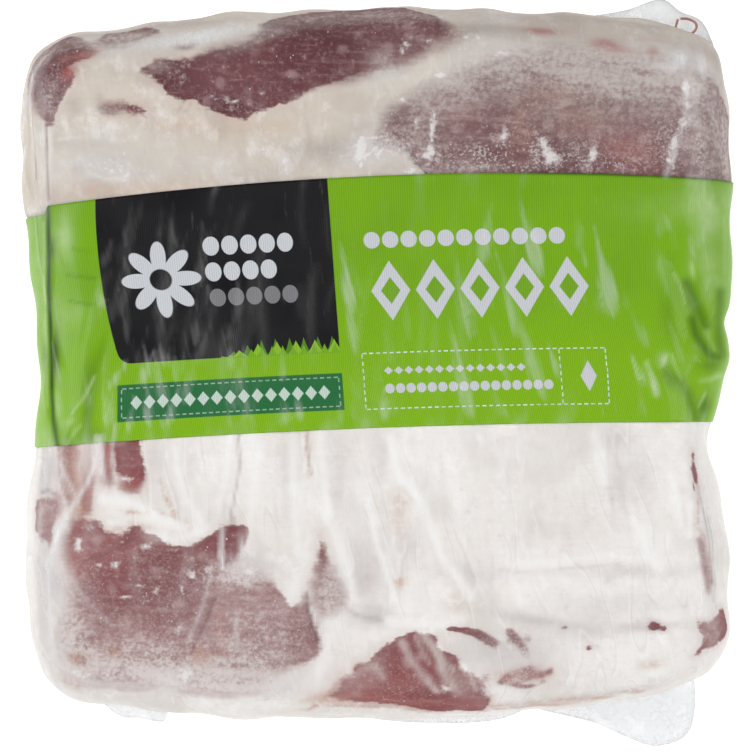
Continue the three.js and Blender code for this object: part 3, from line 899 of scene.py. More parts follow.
# Muscle or fat, with a ragged border, which frost and thin fat make soft in places.
border = plus(field("muscle"), swing(patchy, 4.5), swing(fine, 3.4), swing(lines_across, 1.6))
softness = scaled(field("soft"), 5.5, 0.6)
is_muscle = rise(border, times(softness, -1), softness)

# Muscle: wine red, rosier at the near end, with fine pale lines, blobs, flecks and threads.
cells = add_node("ShaderNodeTexVoronoi", {"Vector": place, "Scale": 1 / 6.5})
blob_edge = plus(cells.outputs["Distance"], swing(fine, 0.5))
chosen = rise(calc("FRACT", times(cells.outputs["Color"], 7.3)), 0.45, 0.5)
wine = layered(tint(white, srgb(92, 48, 54), srgb(127, 67, 71)), [
    (rise(broad, 0.35, 0.65), tint(white, srgb(108, 64, 69), srgb(146, 94, 96))),
    (times(rise(fine, 0.5, 0.8), 0.5), srgb(160, 122, 122)),
    (times(field("red"), 0.75), srgb(172, 94, 86)),
    (times(rise(frost_lines, 0.5, 0.75), 0.4), srgb(170, 134, 134)),
    (times(rise(specks, 0.52, 0.72), 0.4), srgb(166, 130, 130)),
    (times(rise(blob_edge, 0.4, 0.15), chosen, 0.34), srgb(190, 162, 162)),
])

# Fat: warm cream at the far end, whiter at the near end, with stains and faint veins.
paler = tint(white, srgb(231, 227, 221), srgb(249, 248, 246))
duller = tint(white, srgb(195, 183, 171), srgb(232, 228, 224))
veins = times(rise(away_from(crinkled, 0.5), 0.022, 0), rise(patchy, 0.4, 0.62))
mottle = plus(times(patchy, 1.2), times(fine, 0.9))
cream = layered(tint(white, srgb(210, 200, 187), srgb(242, 239, 236)), [
    (rise(patchy, 0.5, 0.68), paler),
    (rise(broad, 0.52, 0.36), duller),
    (times(rise(streaks_up, 0.5, 0.72), 0.5), duller),
    (times(rise(lines_across, 0.55, 0.8), 0.3), duller),
    (times(rise(border, -4.5, 0.6), 0.4), srgb(206, 182, 173)),
    (times(veins, 0.5), duller),
    (times(rise(crinkled, 0.56, 0.7), 0.5), paler),
    (times(rise(specks, 0.5, 0.75), 0.3), duller),
    (minus(times(field("thin"), mottle), 0.06, clamp=True),
     tint(white, srgb(160, 147, 140), srgb(194, 187, 188))),
    (times(field("red"), 0.85), srgb(162, 104, 98)),
    (times(field("tan"), rise(fine, 0.3, 0.62)), srgb(198, 162, 146)),
])

# Frost: a soft bloom, ragged white patches, some of them painted glints of the film, a salt of
# crystals, and tiny loops where the film only just touches the muscle.
calm = scaled(times(minus(1, white), is_muscle), -0.2, scaled(is_muscle, -0.32, 1))
uneven = plus(swing(patchy, 1.5), swing(fine, 0.9), swing(frost_lines, 1.1), swing(specks, 0.9))
bloom = calc("MULTIPLY", field("frost"), scaled(uneven, calm, 1), clamp=True)
bloom = times(bloom, 0.94)
fat_frost = tint(white, srgb(214, 211, 207), srgb(219, 214, 212))
dull_frost = tint(white, srgb(168, 148, 144), srgb(184, 164, 161))
muscle_frost = tint(white, srgb(194, 184, 179), srgb(204, 190, 187))
frost_grain = plus(times(specks, 0.6), times(frost_lines, 0.4))
muscle_frost = tint(rise(frost_grain, 0.36, 0.6), dull_frost, muscle_frost)
islands = plus(bloom, plus(swing(crinkled, 1), swing(specks, 0.8)))
islands = times(rise(islands, 0.5, 0.95), field("frost"))
red_fat = times(minus(1, is_muscle), times(field("red"), 0.6))
stain = times(field("stain"), rise(fine, 0.25, 0.6))
loops = times(rise(away_from(grain(place, 2.6, 3), 0.5), 0.05, 0), field("loops"))
torn = plus(field("patch"), swing(fine, 1.5), swing(specks, 1.2))
grainy = plus(crystals, swing(patchy, 0.4))
salt = calc("MULTIPLY", rise(grainy, 0.53, 0.68), field("salt"), clamp=True)
dark_salt = times(rise(grainy, 0.46, 0.34), times(field("salt"), is_muscle))
colour = layered(tint(is_muscle, cream, wine), [
    (bloom, tint(is_muscle, fat_frost, muscle_frost)),
    (times(islands, scaled(white, 0.16, 0.24)),
     tint(white, srgb(204, 197, 193), srgb(230, 226, 224))),
    (red_fat, srgb(166, 108, 104)),
    (times(stain, 0.85), tint(is_muscle, srgb(200, 164, 142), srgb(176, 130, 112))),
    (times(loops, 0.3), srgb(206, 188, 187)),
    (times(rise(torn, 0.2, 0.9), 0.85),
     tint(rise(torn, 0.5, 1), srgb(206, 197, 196), srgb(232, 229, 228))),
    (times(salt, 0.62), srgb(212, 202, 202)),
    (times(dark_salt, 0.5), srgb(116, 80, 86)),
])

# Fine creases of the film, which run up the pack, with a painted shaded side and a painted lit
# one; then the film's painted shine on the fat, and dark lines: painted crease shade, and seams.
creased = grain(millimetres((0.9, 5, 1), 13), 8, 1, 0.5)
creased_part = rise(grain(millimetres((1, 2, 1)), 13, 2), 0.42, 0.58)
creased_part = times(creased_part, scaled(white, 0.65, 0.35), scaled(is_muscle, -0.8, 1))
shaded_side = rise(away_from(creased, 0.48), 0.026, 0)
lit_side = rise(away_from(creased, 0.52), 0.024, 0)
# Painted shine of the film, along the lines of the pale field.
shine = times(field("pale"), plus(swing(streaks_up, 1.6), 0.8))
shine_colour = tint(white, srgb(226, 223, 220), srgb(252, 252, 251))
colour = layered(colour, [
    (times(shaded_side, creased_part, 0.18),
     tint(is_muscle, srgb(190, 182, 182), srgb(112, 76, 80))),
    (times(lit_side, creased_part, 0.26),
     tint(is_muscle, srgb(252, 252, 251), srgb(196, 178, 176))),
    (calc("MULTIPLY", shine, 0.9, clamp=True),
     tint(is_muscle, shine_colour, srgb(198, 182, 178))),
    (times(field("seam"), plus(fine, 0.3)),
     tint(is_muscle, srgb(160, 138, 136), srgb(106, 72, 77))),
])

# Relief too fine for the mesh, and the gloss of the film drawn tight over it.
steep = field("steep")
finish_material({
    "Base Color": colour,
    "Roughness": scaled(steep, 0.3, scaled(is_muscle, -0.14, 0.6)),
    "Specular IOR Level": 0.22,
    "Normal": bumped(plus(times(fine, 0.5), times(lines_across, 0.2)), 0.35, 0.5),
    "Coat Weight": scaled(steep, -0.2, 0.22),
    "Coat Roughness": 0.2,
})

MEAT_CELLS = 230
MEAT_SIDE_ROWS = 24
MEAT_UNDER_ROWS = 9
meat_grid, meat_faces = skin_grid(MEAT_CELLS, MEAT_SIDE_ROWS, MEAT_UNDER_ROWS)
meat_points = skin_points(meat_grid, MEAT_SINK)
meat = new_piece("lamb_block", meat_points, meat_faces, meat_colour)
meat_normals = point_normals(meat)
meat_flat = unrolled(meat_points, meat_normals)
drawn = meat_flat / DRAWN_SCALE

# The drawn outlines hold on the top and round its edges. Lower down the sides and underneath,
# islands of muscle come from lumps. Muscle is where the depth is above 0.
OUTLINE_REACH = 9
ISLAND_SPACING = 62
ISLAND_DEPTH = 7
SPECK_DEPTH = 3.8
round_top = smooth(meat_normals[:, 2], -0.7, -0.1)
islands = ISLAND_DEPTH * lumps(meat_points * (1, 1, 1.6), ISLAND_SPACING, 3) - 3
muscle = np.maximum(islands - 16 * smooth(meat_normals[:, 2], -0.5, 0.2), -OUTLINE_REACH)
for outline in MUSCLES.values():
    from_above = depth_inside(drawn, outline, OUTLINE_REACH) * round_top
    muscle = np.maximum(muscle, from_above - OUTLINE_REACH * (1 - round_top))
muscle = np.maximum(muscle, SPECK_DEPTH * (blots(drawn, SPECKLED) * round_top) - 3.4)
set_field(meat, "muscle", muscle)

# How strong each look is at each point. Frost, thin fat and soft borders go on round the sides.
upward = smooth(meat_normals[:, 2], -0.3, 0.4)
painted = {}
for name, spots, on_sides in (
    ("frost", FROST, 0.4), ("thin", THIN_FAT_AND_SHADE, 0.3), ("soft", SOFT_BORDERS, 0.3),
    ("patch", PATCHES_AND_GLINTS, 0), ("red", RED_SPOTS, 0), ("stain", STAINS, 0), ("salt", SALT, 0),
    ("loops", LOOPS, 0),
):
    painted[name] = blots(drawn, spots) * upward + on_sides * (1 - upward)
for name, lines in (("tan", TAN_LINES), ("pale", SHINE_LINES), ("seam", SEAM_AND_SHADE_LINES)):
    painted[name] = strokes(drawn, lines) * upward
painted["salt"] += 0.25 * np.clip(lumps(meat_points, 34, 5), 0, 1)
painted["thin"] *= 1 - 0.8 * np.clip(painted["pale"], 0, 1)
painted["steep"] = 1 - smooth(meat_normals[:, 2], 0.5, 0.95)
uneven_white = 0.15 * lumps(meat_points, 40, 8)
painted["whiteness"] = smooth(-drawn[:, 1], -70, 20) * (0.9 + uneven_white)
painted["whiteness"] += 0.4 * np.clip(uneven_white, 0, 1)
for name, values in painted.items():
    set_field(meat, name, np.clip(values, 0, 1))

# The finer relief: soft lumps of meat, a step down where fat gives way to muscle, wrinkles, and
# a hollow for the band to lie in.
MEAT_LUMPS = 0.22
MUSCLE_STEP = 0.35
SEAM_DEPTH = 0.35
PALE_RISE = 0.4
BAND_HOLLOW = 1.3
MEAT_WRINKLES = 0.55  # the share of each wrinkle that shows in the meat
MEAT_FOOT = 0.3
BAND_FAR = {"y": 64.8, "bow": -6.3, "lean": 4.9}
BAND_NEAR = {"y": -16.8, "bow": -2.6, "lean": 4.4}


def band_edge(edge, x):
    """Where an edge of the band lies at each x."""
    lean = edge["lean"] * 2 * x / PACK_WIDTH
    return edge["y"] + lean + edge["bow"] * bow(x, 0, PACK_WIDTH / 2, 2)


def under_band(points):
    """1 well under the band, falling to 0 at its edges."""
    x, y = points[:, 0], points[:, 1]
    inside = np.minimum(y - band_edge(BAND_NEAR, x), band_edge(BAND_FAR, x) - y)
    return smooth(inside, 0.5, 5)


meat_rise = MEAT_LUMPS * lumps(meat_points, 15, 21) - MUSCLE_STEP * smooth(muscle, -1.5, 1.5)
meat_rise += MEAT_WRINKLES * wrinkle_height(meat_flat[:, 0], meat_flat[:, 1]) * upward
meat_rise += PALE_RISE * painted["pale"] - SEAM_DEPTH * painted["seam"]
meat_rise -= BAND_HOLLOW * under_band(meat_points)
meat_rise *= smooth(meat_points[:, 2], 0, 6)
meat_points = moved_out(meat, meat_points, meat_normals, meat_rise, MEAT_FOOT)
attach(meat, "root")
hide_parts("vacuum_pack")


# Grains of frozen fat and ice, pressed flat between meat and film, thickest where the muscle is
# frosty. They are scattered over the block's own mesh.
FLECK_RADIUS = 0.36
FLECKS_A_METRE = 420000
FLECK_SEED = 7
FLECK_SHAPES = ((0.2, 0.25, 0.2), (1, 1.5, 0.4))  # the least and the most, in radii
CLUSTER_SPACING = 7


def node_group(name, inputs):
    """A tree of geometry nodes with one geometry in and out, and named inputs; its sockets."""
    group = bpy.data.node_groups.new(name, "GeometryNodeTree")
    group.interface.new_socket("Geometry", in_out="OUTPUT", socket_type="NodeSocketGeometry")
    for label, kind in {"Geometry": "NodeSocketGeometry", **inputs}.items():
        group.interface.new_socket(label, in_out="INPUT", socket_type=kind)
    return group, group.nodes.new("NodeGroupInput").outputs


def finish_group(geometry, material):
    """The end of a tree: real geometry in its material."""
    real = add_node("GeometryNodeRealizeInstances", {"Geometry": geometry})
    inputs = {"Geometry": real.outputs[0], "Material": material}
    dressed = add_node("GeometryNodeSetMaterial", inputs)
    add_node("NodeGroupOutput", {"Geometry": dressed.outputs[0]})


def grown(name, mesh, values):
    """The plain mesh piece that the tree just built makes from a mesh."""
    start = put_in(name + "_start", mesh)
    modifier = start.modifiers.new(name, "NODES")
    modifier.node_group = tree
    for socket in tree.interface.items_tree:
        if socket.in_out == "INPUT" and socket.name in values:
            modifier[socket.identifier] = values[socket.name]
    evaluated = start.evaluated_get(bpy.context.evaluated_depsgraph_get())
    made = bpy.data.meshes.new_from_object(evaluated)
    bpy.data.objects.remove(start)
    made.name = name
    return put_in(name, made)


fleck_white, tree = new_material("frozen_fleck")
shade = rise(grain(millimetres(), 2.5), 0.35, 0.65)
shade = tint(shade, srgb(166, 138, 138), srgb(206, 193, 192))
finish_material({"Base Color": shade, "Roughness": 0.45})

tree, socket = node_group("flecks_on_muscle", {
    "Fleck radius": "NodeSocketFloat",
    "Flecks a square metre": "NodeSocketFloat",
    "Seed": "NodeSocketInt",
})
weight = add_node("GeometryNodeInputNamedAttribute", {"Name": "flecks"}, data_type="FLOAT")
scattered = add_node("GeometryNodeDistributePointsOnFaces", {
    "Mesh": socket["Geometry"],
    "Density": times(socket["Flecks a square metre"], weight.outputs[0]),
    "Seed": socket["Seed"],
})
inputs = {"Radius": socket["Fleck radius"], "Subdivisions": 1}
fleck = add_node("GeometryNodeMeshIcoSphere", inputs)
inputs = {0: FLECK_SHAPES[0], 1: FLECK_SHAPES[1], "Seed": socket["Seed"]}
size = add_node("FunctionNodeRandomValue", inputs, data_type="FLOAT_VECTOR")
placed = add_node("GeometryNodeInstanceOnPoints", {
    "Points": scattered.outputs["Points"],
    "Instance": fleck.outputs["Mesh"],
    "Rotation": scattered.outputs["Rotation"],
    "Scale": size.outputs[0],
})
finish_group(placed.outputs[0], fleck_white)

in_clusters = smooth(lumps(meat_flat, CLUSTER_SPACING, 51), 0.3, 1.4) * smooth(muscle, 0, 3)
in_clusters *= upward
set_field(meat, "flecks", in_clusters * (0.2 + 0.8 * np.clip(painted["salt"], 0, 1)))
fleck_grains = grown("frozen_flecks", meat.data, {
    "Fleck radius": FLECK_RADIUS * MM,
    "Flecks a square metre": FLECKS_A_METRE,
    "Seed": FLECK_SEED,
})
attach(fleck_grains, "root")


# The printed band: a ribbed sleeve of green printed film, 84 mm wide, that goes right round the
# block under the clear bag. Its print is plain fields of colour: a charcoal panel, a teal strip
# and pale shapes. It is a thin sheet on the block's own form, closed into a loop.
BAND_SINK = 0.1
BAND_THICKNESS = 0.3
BAND_ROUND = (240, 50)  # cells across the top or the underside, and down each side
BAND_CROWDING = 1.2  # how much closer the cells lie towards the sides
BAND_ROWS = 84
BAND_FITS = 6  # how often a row's place is corrected
PLEAT_X = -106.6
PLEAT_STEP = 2.6  # how much nearer the far edge lies beyond the left pleat


def band_grid(inset):
    """The band's points, a row for each step across it and a column for each step round it.

    A row's place on the box is guessed, then corrected until it lies between the band's edges."""
    wide, tall = BAND_ROUND
    run = np.linspace(-BAND_CROWDING, BAND_CROWDING, wide, endpoint=False)
    run = np.sin(run) / math.sin(BAND_CROWDING)
    fall = np.cos(np.linspace(0, math.pi, tall, endpoint=False))
    a = np.concatenate([run, np.ones(tall), -run, -np.ones(tall)])
    c = np.concatenate([np.ones(wide), fall, -np.ones(wide), -fall])
    rows = []
    for share in np.linspace(0, 1, BAND_ROWS + 1):
        b = np.full(len(a), -0.15 + 0.72 * share)
        for _ in range(BAND_FITS):
            points = skin_points(np.stack([a, b, c], 1), inset)
            x = points[:, 0]
            near = band_edge(BAND_NEAR, x)
            far = band_edge(BAND_FAR, x) - PLEAT_STEP * smooth(-x, -PLEAT_X - 0.3, -PLEAT_X + 1)
            b = b - (points[:, 1] - near - share * (far - near)) / (PACK_LENGTH / 2)
        rows.append(points)
    return np.stack(rows)


# Where things lie on the print: mm along the band from its middle, and mm from its near edge.
# The print was laid a little askew, and its left end is drawn outwards towards the far edge.
PRINT_LEAN = 0.073
PRINT_BOW = 0.0028
PRINT_BOW_FROM = 79
PRINT_BOW_REACH = 50
PRINT_MIDDLE = 26
PANEL = (-86.3, -13.9, 25, 95)  # left, right, near and far
PANEL_CORNER = 5
TEAL_STRIP = (-86.1, -13.7, 6.2, 18.2)
STITCH_FRAME = (-6.8, 72, 6.1, 24.2)
STITCH_DIVIDER = 57

band_print, tree = new_material("printed_band")


def uv_place(name):
    """The two sockets of a place on the band's unrolled sheet: along it and across it."""
    place = add_node("ShaderNodeUVMap", uv_map=name).outputs[0]
    return add_node("ShaderNodeSeparateXYZ", {"Vector": place}).outputs[:2]


along_print, across_print = uv_place("print")
SOFT_EDGE = 0.16


def long_side(first, second):
    """The length of the long side of a right-angled triangle."""
    return calc("SQRT", plus(calc("POWER", first, 2), calc("POWER", second, 2)))


def block(left, right, near, far, corner=0.3):
    """1 within a rectangle with rounded corners on the print, and 0 outside."""
    aside = away_from(along_print, (left + right) / 2)
    ahead = away_from(across_print, (near + far) / 2)
    over_x = calc("MAXIMUM", minus(aside, (right - left) / 2 - corner), 0)
    over_y = calc("MAXIMUM", minus(ahead, (far - near) / 2 - corner), 0)
    return rise(long_side(over_x, over_y), corner + SOFT_EDGE, corner - SOFT_EDGE)


def beads(left, right, middle, half_across, number=1, roundness=1):
    """1 within a row of lozenges, or of discs where roundness is 2, and 0 outside."""
    pitch = (right - left) / number
    half_along = 0.44 * pitch
    from_first = minus(along_print, left + pitch / 2)
    aside = calc("DIVIDE", calc("PINGPONG", from_first, pitch / 2), half_along)
    ahead = calc("DIVIDE", away_from(across_print, middle), half_across)
    powers = [calc("POWER", side, roundness) for side in (aside, ahead)]
    soft = SOFT_EDGE / min(half_along, half_across)
    bead = rise(plus(*powers), 1 + soft, 1 - soft)
    return times(bead, block(left, right, middle - half_across, middle + half_across))


place = millimetres()
cloudy = grain(place, 18)
PALE = srgb(208, 211, 216)
colour = tint(cloudy, srgb(112, 164, 6), srgb(130, 185, 20))
# Lighter, yellower green towards the near edge: painted light, where more of it falls.
colour = tint(times(rise(across_print, 56, 8), 0.6), colour, srgb(138, 192, 8))

# The charcoal panel, with two rows of peaks in light greens along its foot.
left, right, near, far = PANEL
CHARCOAL = srgb(13, 13, 17)
PEAKS = [
    # half the pitch, height, ink
    (2.3, 5.4, srgb(86, 136, 26)), (3.1, 4.4, srgb(140, 190, 44)), (1.7, 3, srgb(120, 174, 26)),
]
PEAKS_FROM = left + 34
peaks = []
in_panel = block(PEAKS_FROM, right, near - 0.2, far)
tapering = rise(along_print, PEAKS_FROM - 4, PEAKS_FROM + 16)
for half_pitch, height, ink in PEAKS:
    peak = calc("PINGPONG", along_print, half_pitch)
    crest = times(calc("POWER", peak, 1.5), height / half_pitch**1.5, tapering)
    above = minus(across_print, plus(crest, near))
    peaks.append((times(rise(above, SOFT_EDGE, -SOFT_EDGE), in_panel), ink))
colour = layered(colour, [
    (block(*PANEL, PANEL_CORNER), CHARCOAL),
    (block(right - 12, right, near, near + 12), CHARCOAL),
    *peaks,
])

# A rosette and three rows of discs on the panel.
ROSETTE = {"along": -67.4, "across": 51.5, "radius": 12.4, "petals": 8, "heart": 3.2}
aside = minus(along_print, ROSETTE["along"])
ahead = minus(across_print, ROSETTE["across"])
from_heart = long_side(aside, ahead)
turn = times(calc("ARCTAN2", ahead, aside), ROSETTE["petals"] / 2)
petal = scaled(calc("ABSOLUTE", calc("COSINE", turn)), 0.55, 0.45)
petal_edge = minus(from_heart, times(petal, ROSETTE["radius"]))
heart = rise(from_heart, ROSETTE["heart"], ROSETTE["heart"] + 0.5)
colour = layered(colour, [
    (times(rise(petal_edge, 0.3, -0.3), heart), PALE),
    (beads(-54, -26, 61.4, 3.1, 5, 2), PALE),
    (beads(-54, -31.6, 53, 3.1, 4, 2), PALE),
    (beads(-53.6, -25.6, 44.6, 2.9, 5, 2), srgb(128, 128, 132)),
])

# The teal strip with its row of small lozenges. Then the right half: a row of discs, a row of
# large lozenges with green hearts, and what the stitched frame holds.
left, right, near, far = TEAL_STRIP
hearts = calc("PINGPONG", minus(along_print, 4), 7.22)
hearts = plus(hearts, times(away_from(across_print, 44.3), 0.72))
colour = layered(colour, [
    (block(*TEAL_STRIP), srgb(38, 112, 62)),
    (beads(left + 4, right - 4, (near + far) / 2, 2.3, 15), srgb(200, 218, 206)),
    (beads(-4, 62, 60.8, 2.7, 11, 2), PALE),
    (beads(-3.2, 69, 44.3, 9.7, 5), PALE),
    (times(rise(hearts, 3.3, 3), block(-3.2, 69, 34, 54)), srgb(118, 170, 26)),
    (beads(-0.3, 46, 18.4, 1.3, 14), PALE),
    (beads(-0.3, 54.6, 12.6, 1.6, 16, 2), PALE),
    (beads(63, 69, 15.2, 5), PALE),
])

# The ribs of the sleeve as darker stripes; the painted shade of its folds; and painted highlights
# where its ridges gleam.
RIB_PITCH = 0.72
rib_turn = times(uv_place("weave")[0], 2 * math.pi / RIB_PITCH)
rib_share = scaled(calc("SINE", rib_turn), 0.5, 0.5)
gleam = times(field("gleam"), rise(grain(place, 5, 3), -0.2, 0.8))
dark = tint(0.3, colour, (0, 0, 0, 1))
colour = tint(times(rib_share, 0.6), colour, dark)
deep = tint(0.93, colour, srgb(34, 68, 2))
colour = tint(field("fold"), colour, deep)
colour = tint(times(gleam, 0.52), colour, srgb(202, 225, 164))
height = plus(times(rib_share, 0.6), times(grain(place, 1.8, 3), 0.9))
finish_material({
    "Base Color": colour,
    "Roughness": rise(cloudy, -0.2, 1),
    "Specular IOR Level": 0.2,
    "Normal": bumped(height, 0.4, 0.12),
    "Coat Weight": scaled(field("fold"), -0.2, 0.22),
    "Coat Roughness": 0.14,
})

band_rows = band_grid(BAND_SINK)
rows, columns = band_rows.shape[:2]
band_points = band_rows.reshape(-1, 3)
index = np.arange(rows * columns).reshape(rows, columns)
following = np.roll(index, -1, 1)
cell = [index[:-1], following[:-1], following[1:], index[1:]]
band_faces = np.stack(cell, -1).reshape(-1, 4)
band = new_piece("printed_band_sleeve", band_points, band_faces.tolist(), band_print)
band_normals = point_normals(band)

# How far each point lies round the band, counted from the middle of its top, and how far
# across. Ribs follow the way round; the print follows x on the top, where the sleeve is flat.
middle_row = band_rows[rows // 2]
steps = np.linalg.norm(np.diff(middle_row, axis=0, append=middle_row[:1]), axis=1)
travel = np.concatenate([[0], np.cumsum(steps)])
travel -= travel[BAND_ROUND[0] // 2]
row_share = np.repeat(np.linspace(0, 1, rows), columns)
band_x = band_points[:, 0]
across_band = row_share * (band_edge(BAND_FAR, band_x) - band_edge(BAND_NEAR, band_x))
facing_up = band_normals.reshape(rows, columns, 3)[rows // 2, :, 2]
x_change = (band_rows[..., 0] - middle_row[:, 0]) * facing_up


def print_shift(around, across):
    """How far along the print lies ahead of the way round the band."""
    drop = np.clip(PRINT_BOW_FROM - across, 0, PRINT_BOW_REACH)
    at_left = smooth(-around, 20, 84)
    bowed = PRINT_BOW * (PRINT_BOW_REACH**2 - drop**2)
    return at_left * bowed + (1 - at_left) * PRINT_LEAN * (across - PRINT_MIDDLE)


face_column = np.tile(np.arange(columns), rows - 1)
corner_column = np.stack([face_column, face_column + 1, face_column + 1, face_column], -1).ravel()
around = travel[corner_column]
corner_point = band_faces.ravel()
corner_across = across_band[corner_point]
straight = around + x_change.ravel()[corner_point] + print_shift(around, corner_across)
for name, along in (("print", straight), ("weave", around)):
    layer = band.data.uv_layers.new(name=name)
    layer.data.foreach_set("uv", np.stack([along, corner_across], -1).astype(np.float32).ravel())

# Folds of the sleeve and the ridges between them, which catch the light: the places that each
# runs through, its width and its strength. Shade is painted dark in the folds and the shades,
# and highlights pale on the ridges and the gleams.
BAND_FOLDS = [
    # left pleat
    ((-106.4, 58), (-106, 40), (-106, 24), (-105.8, 14), (-105.4, -4), 0.85, 1),
    ((-105.4, -4), (-104.8, -14), (-103.6, -21), (-102.2, -27), 0.85, 0.9),
    # right creases
    ((100.8, 30), (103.4, 24.6), (105.8, 19.4), (107.2, 16.6), 1.9, 0.55),
    ((102.8, 18.4), (103.8, 13.8), (106, 10), (108.4, 6.8), (111.6, 6.2), 1.7, 0.62),
    ((112.2, 27), (112, 18), (112, 12), (112.8, 7), 1.9, 0.46),
    ((94, 1), (98.6, -2), (102.2, -7.4), (104.4, -14), 2, 0.42),
    # marks at the left
    ((-98.4, 41.2), (-93, 40.4), 0.6, 0.14), ((-100, 32.6), (-91, 31.6), 0.6, 0.26),
    ((-99.4, 24.2), (-91.4, 23), 0.6, 0.2),
]
BAND_SHADES = [
    # left pleat and flap
    (-105, 41.6, 1.2, 3.6, 0.75), (-105.5, 28, 0.8, 9, 0.6), (-104.3, 7, 1.8, 8.5, -3, 0.9),
    (-104, -16, 1.1, 6, 10, 0.6), (-107.8, 6, 1.2, 6, 4, 0.55),
    # lower left
    (-92.6, -1, 2.8, 8, -8, 0.4), (-93.4, -13, 1.8, 7, -6, 0.42), (-91.5, -20, 4.5, 2.6, 0.3),
    (-100, -21.5, 2.6, 3, 0.28),
    # right crumple
    (103, 22.6, 1.6, 6, 24, 0.46), (104.4, 14, 1.6, 4, 22, 0.46), (108.6, 3.6, 4.2, 2.2, 0.4),
    (94.4, 19.6, 2.4, 7, 6, 0.22), (96, -2, 3.4, 2.2, -30, 0.34), (106.8, -10, 2.4, 4, -20, 0.62),
    # beside the panel
    (-89, 8, 1.6, 6, -14, 0.2),
]
BAND_RIDGES = [
    # left
    ((-91.2, -0.4), (-94, -6.4), (-98.4, -12), 0.5, 0.8),
    ((-95.6, -16), (-99, -20.4), (-101.4, -24.4), 0.5, 0.6),
    ((-107.5, 50), (-107.3, 24), (-107, 4), (-106.6, -10), 0.5, 0.6),
    # right crumple
    ((96.5, 33.2), (98.4, 30), (100.4, 23.4), 0.45, 1), ((94.2, 7), (92.6, 3.4), 0.9, 0.9),
    ((95.8, 6.8), (96.8, 3.6), (99, -1.4), 0.6, 0.8), ((83.3, 5.6), (85.6, -0.8), 0.5, 0.9),
    ((87.6, 4.4), (88.8, -1), (90.6, -6), 0.8, 0.9), ((107, -5.4), (104.8, -10), 0.6, 0.7),
    ((105.6, -1.6), (108.6, -0.8), (112, 0.4), 1, 0.7),
]
BAND_GLEAMS = [
    # left flap
    (-111, 32, 4.6, 22, 2, 0.55), (-109, -19, 3.4, 8, 12, 0.5), (-107.6, 14, 0.8, 20, 0.4),
    # left of the panel
    (-101.8, 45.6, 2.8, 7, 0.75), (-102, 18, 2.2, 9, 0.4), (-97.6, 20, 4, 4, -20, 0.35),
    (-103, -10, 1.6, 8, 4, 0.45), (-99.6, -15, 2.2, 1.2, 20, 0.5), (-87.4, -12, 1.3, 8, 0.4),
    (-89.4, 25, 1, 5, 4, 0.45),
    # right
    (107, 56, 8, 5.4, -8, 0.75), (108, 50, 4, 4, -20, 0.5), (109, 33, 3.6, 12, 2, 0.6),
    (102.6, 34.4, 0.9, 3.2, 8, 1), (92, 36, 2.4, 4, 10, 0.2), (113.6, 44, 0.9, 12, 0.4),
    (107.8, 14.2, 1.7, 2.6, 14, 0.55), (109.8, 9.4, 1.2, 2.2, 14, 0.4), (103.6, 9.6, 1.6, 1.6, 0.3),
    (92, 54, 14, 5, 0.2),
]
FOLD_DEPTH = 0.25
BAND_FOOT = 0.2
BAND_WRINKLES = 0.6
EDGE_SHADE = 0.8  # of the far edge at the right, which turns under
RIDGE_HEIGHT = 0.3
band_flat = unrolled(band_points, band_normals)
upward = smooth(band_normals[:, 2], -0.2, 0.5)
fold = strokes(band_points[:, :2], BAND_FOLDS)
shade = blots(band_points[:, :2], BAND_SHADES)
ridge = strokes(band_points[:, :2], BAND_RIDGES)
gleam = blots(band_points[:, :2], BAND_GLEAMS)
band_rise = BAND_WRINKLES * wrinkle_height(band_flat[:, 0], band_flat[:, 1])
band_rise += RIDGE_HEIGHT * ridge - FOLD_DEPTH * np.maximum(fold, 0.5 * shade)
band_points = moved_out(band, band_points, band_normals, band_rise * upward, BAND_FOOT)
# Painted shade where the far edge at the right turns under, added to that of the folds.
edge_shade = EDGE_SHADE * bell(row_share, 1, 0.008) * smooth(band_x, 30, 60)
set_field(band, "fold", np.clip(np.maximum(fold, shade) + edge_shade, 0, 1) * upward)
set_field(band, "gleam", np.clip(gleam + ridge - 0.8 * fold, 0, 1) * upward)
thickness = band.modifiers.new("film thickness", "SOLIDIFY")
thickness.thickness = BAND_THICKNESS * MM
thickness.offset = -1
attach(band, "root")
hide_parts("printed_band")


# The printed stitches: short pale raised dashes round the teal strip and round the frame at the
# right, as if the print were sewn on. Each line of them follows the sleeve's own surface.
DASH = (1.35, 0.42, 0.14)
DASH_PITCH = 2.15
LINE_END = 0.9  # mm that each line stops short of a corner
STRIP_INSET = 1.3
STEPS_A_LINE = 60


def on_band(along, across):
    """Where places of the print lie on the sleeve's surface."""
    grid = band_points.reshape(rows, columns, 3)
    around = np.array(along, float)
    for _ in range(4):
        column = np.clip(np.interp(around, travel[:-1], np.arange(columns)), 0, columns - 1.001)
        x = np.interp(around, travel[:-1], middle_row[:, 0])
        row = across / (band_edge(BAND_FAR, x) - band_edge(BAND_NEAR, x)) * (rows - 1)
        low_row = np.clip(row.astype(int), 0, rows - 2)
        low_column = column.astype(int)
        around = along - x_change[low_row, low_column] - print_shift(around, across)
    up = (row - low_row)[:, None]
    aside = (column - low_column)[:, None]
    near = grid[low_row, low_column] * (1 - aside) + grid[low_row, low_column + 1] * aside
    far = grid[low_row + 1, low_column] * (1 - aside) + grid[low_row + 1, low_column + 1] * aside
    return near * (1 - up) + far * up


def rectangle(left, right, near, far):
    """The four sides of a rectangle on the print, each from one corner to the next."""
    corners = [(left, near), (right, near), (right, far), (left, far), (left, near)]
    return list(zip(corners, corners[1:]))


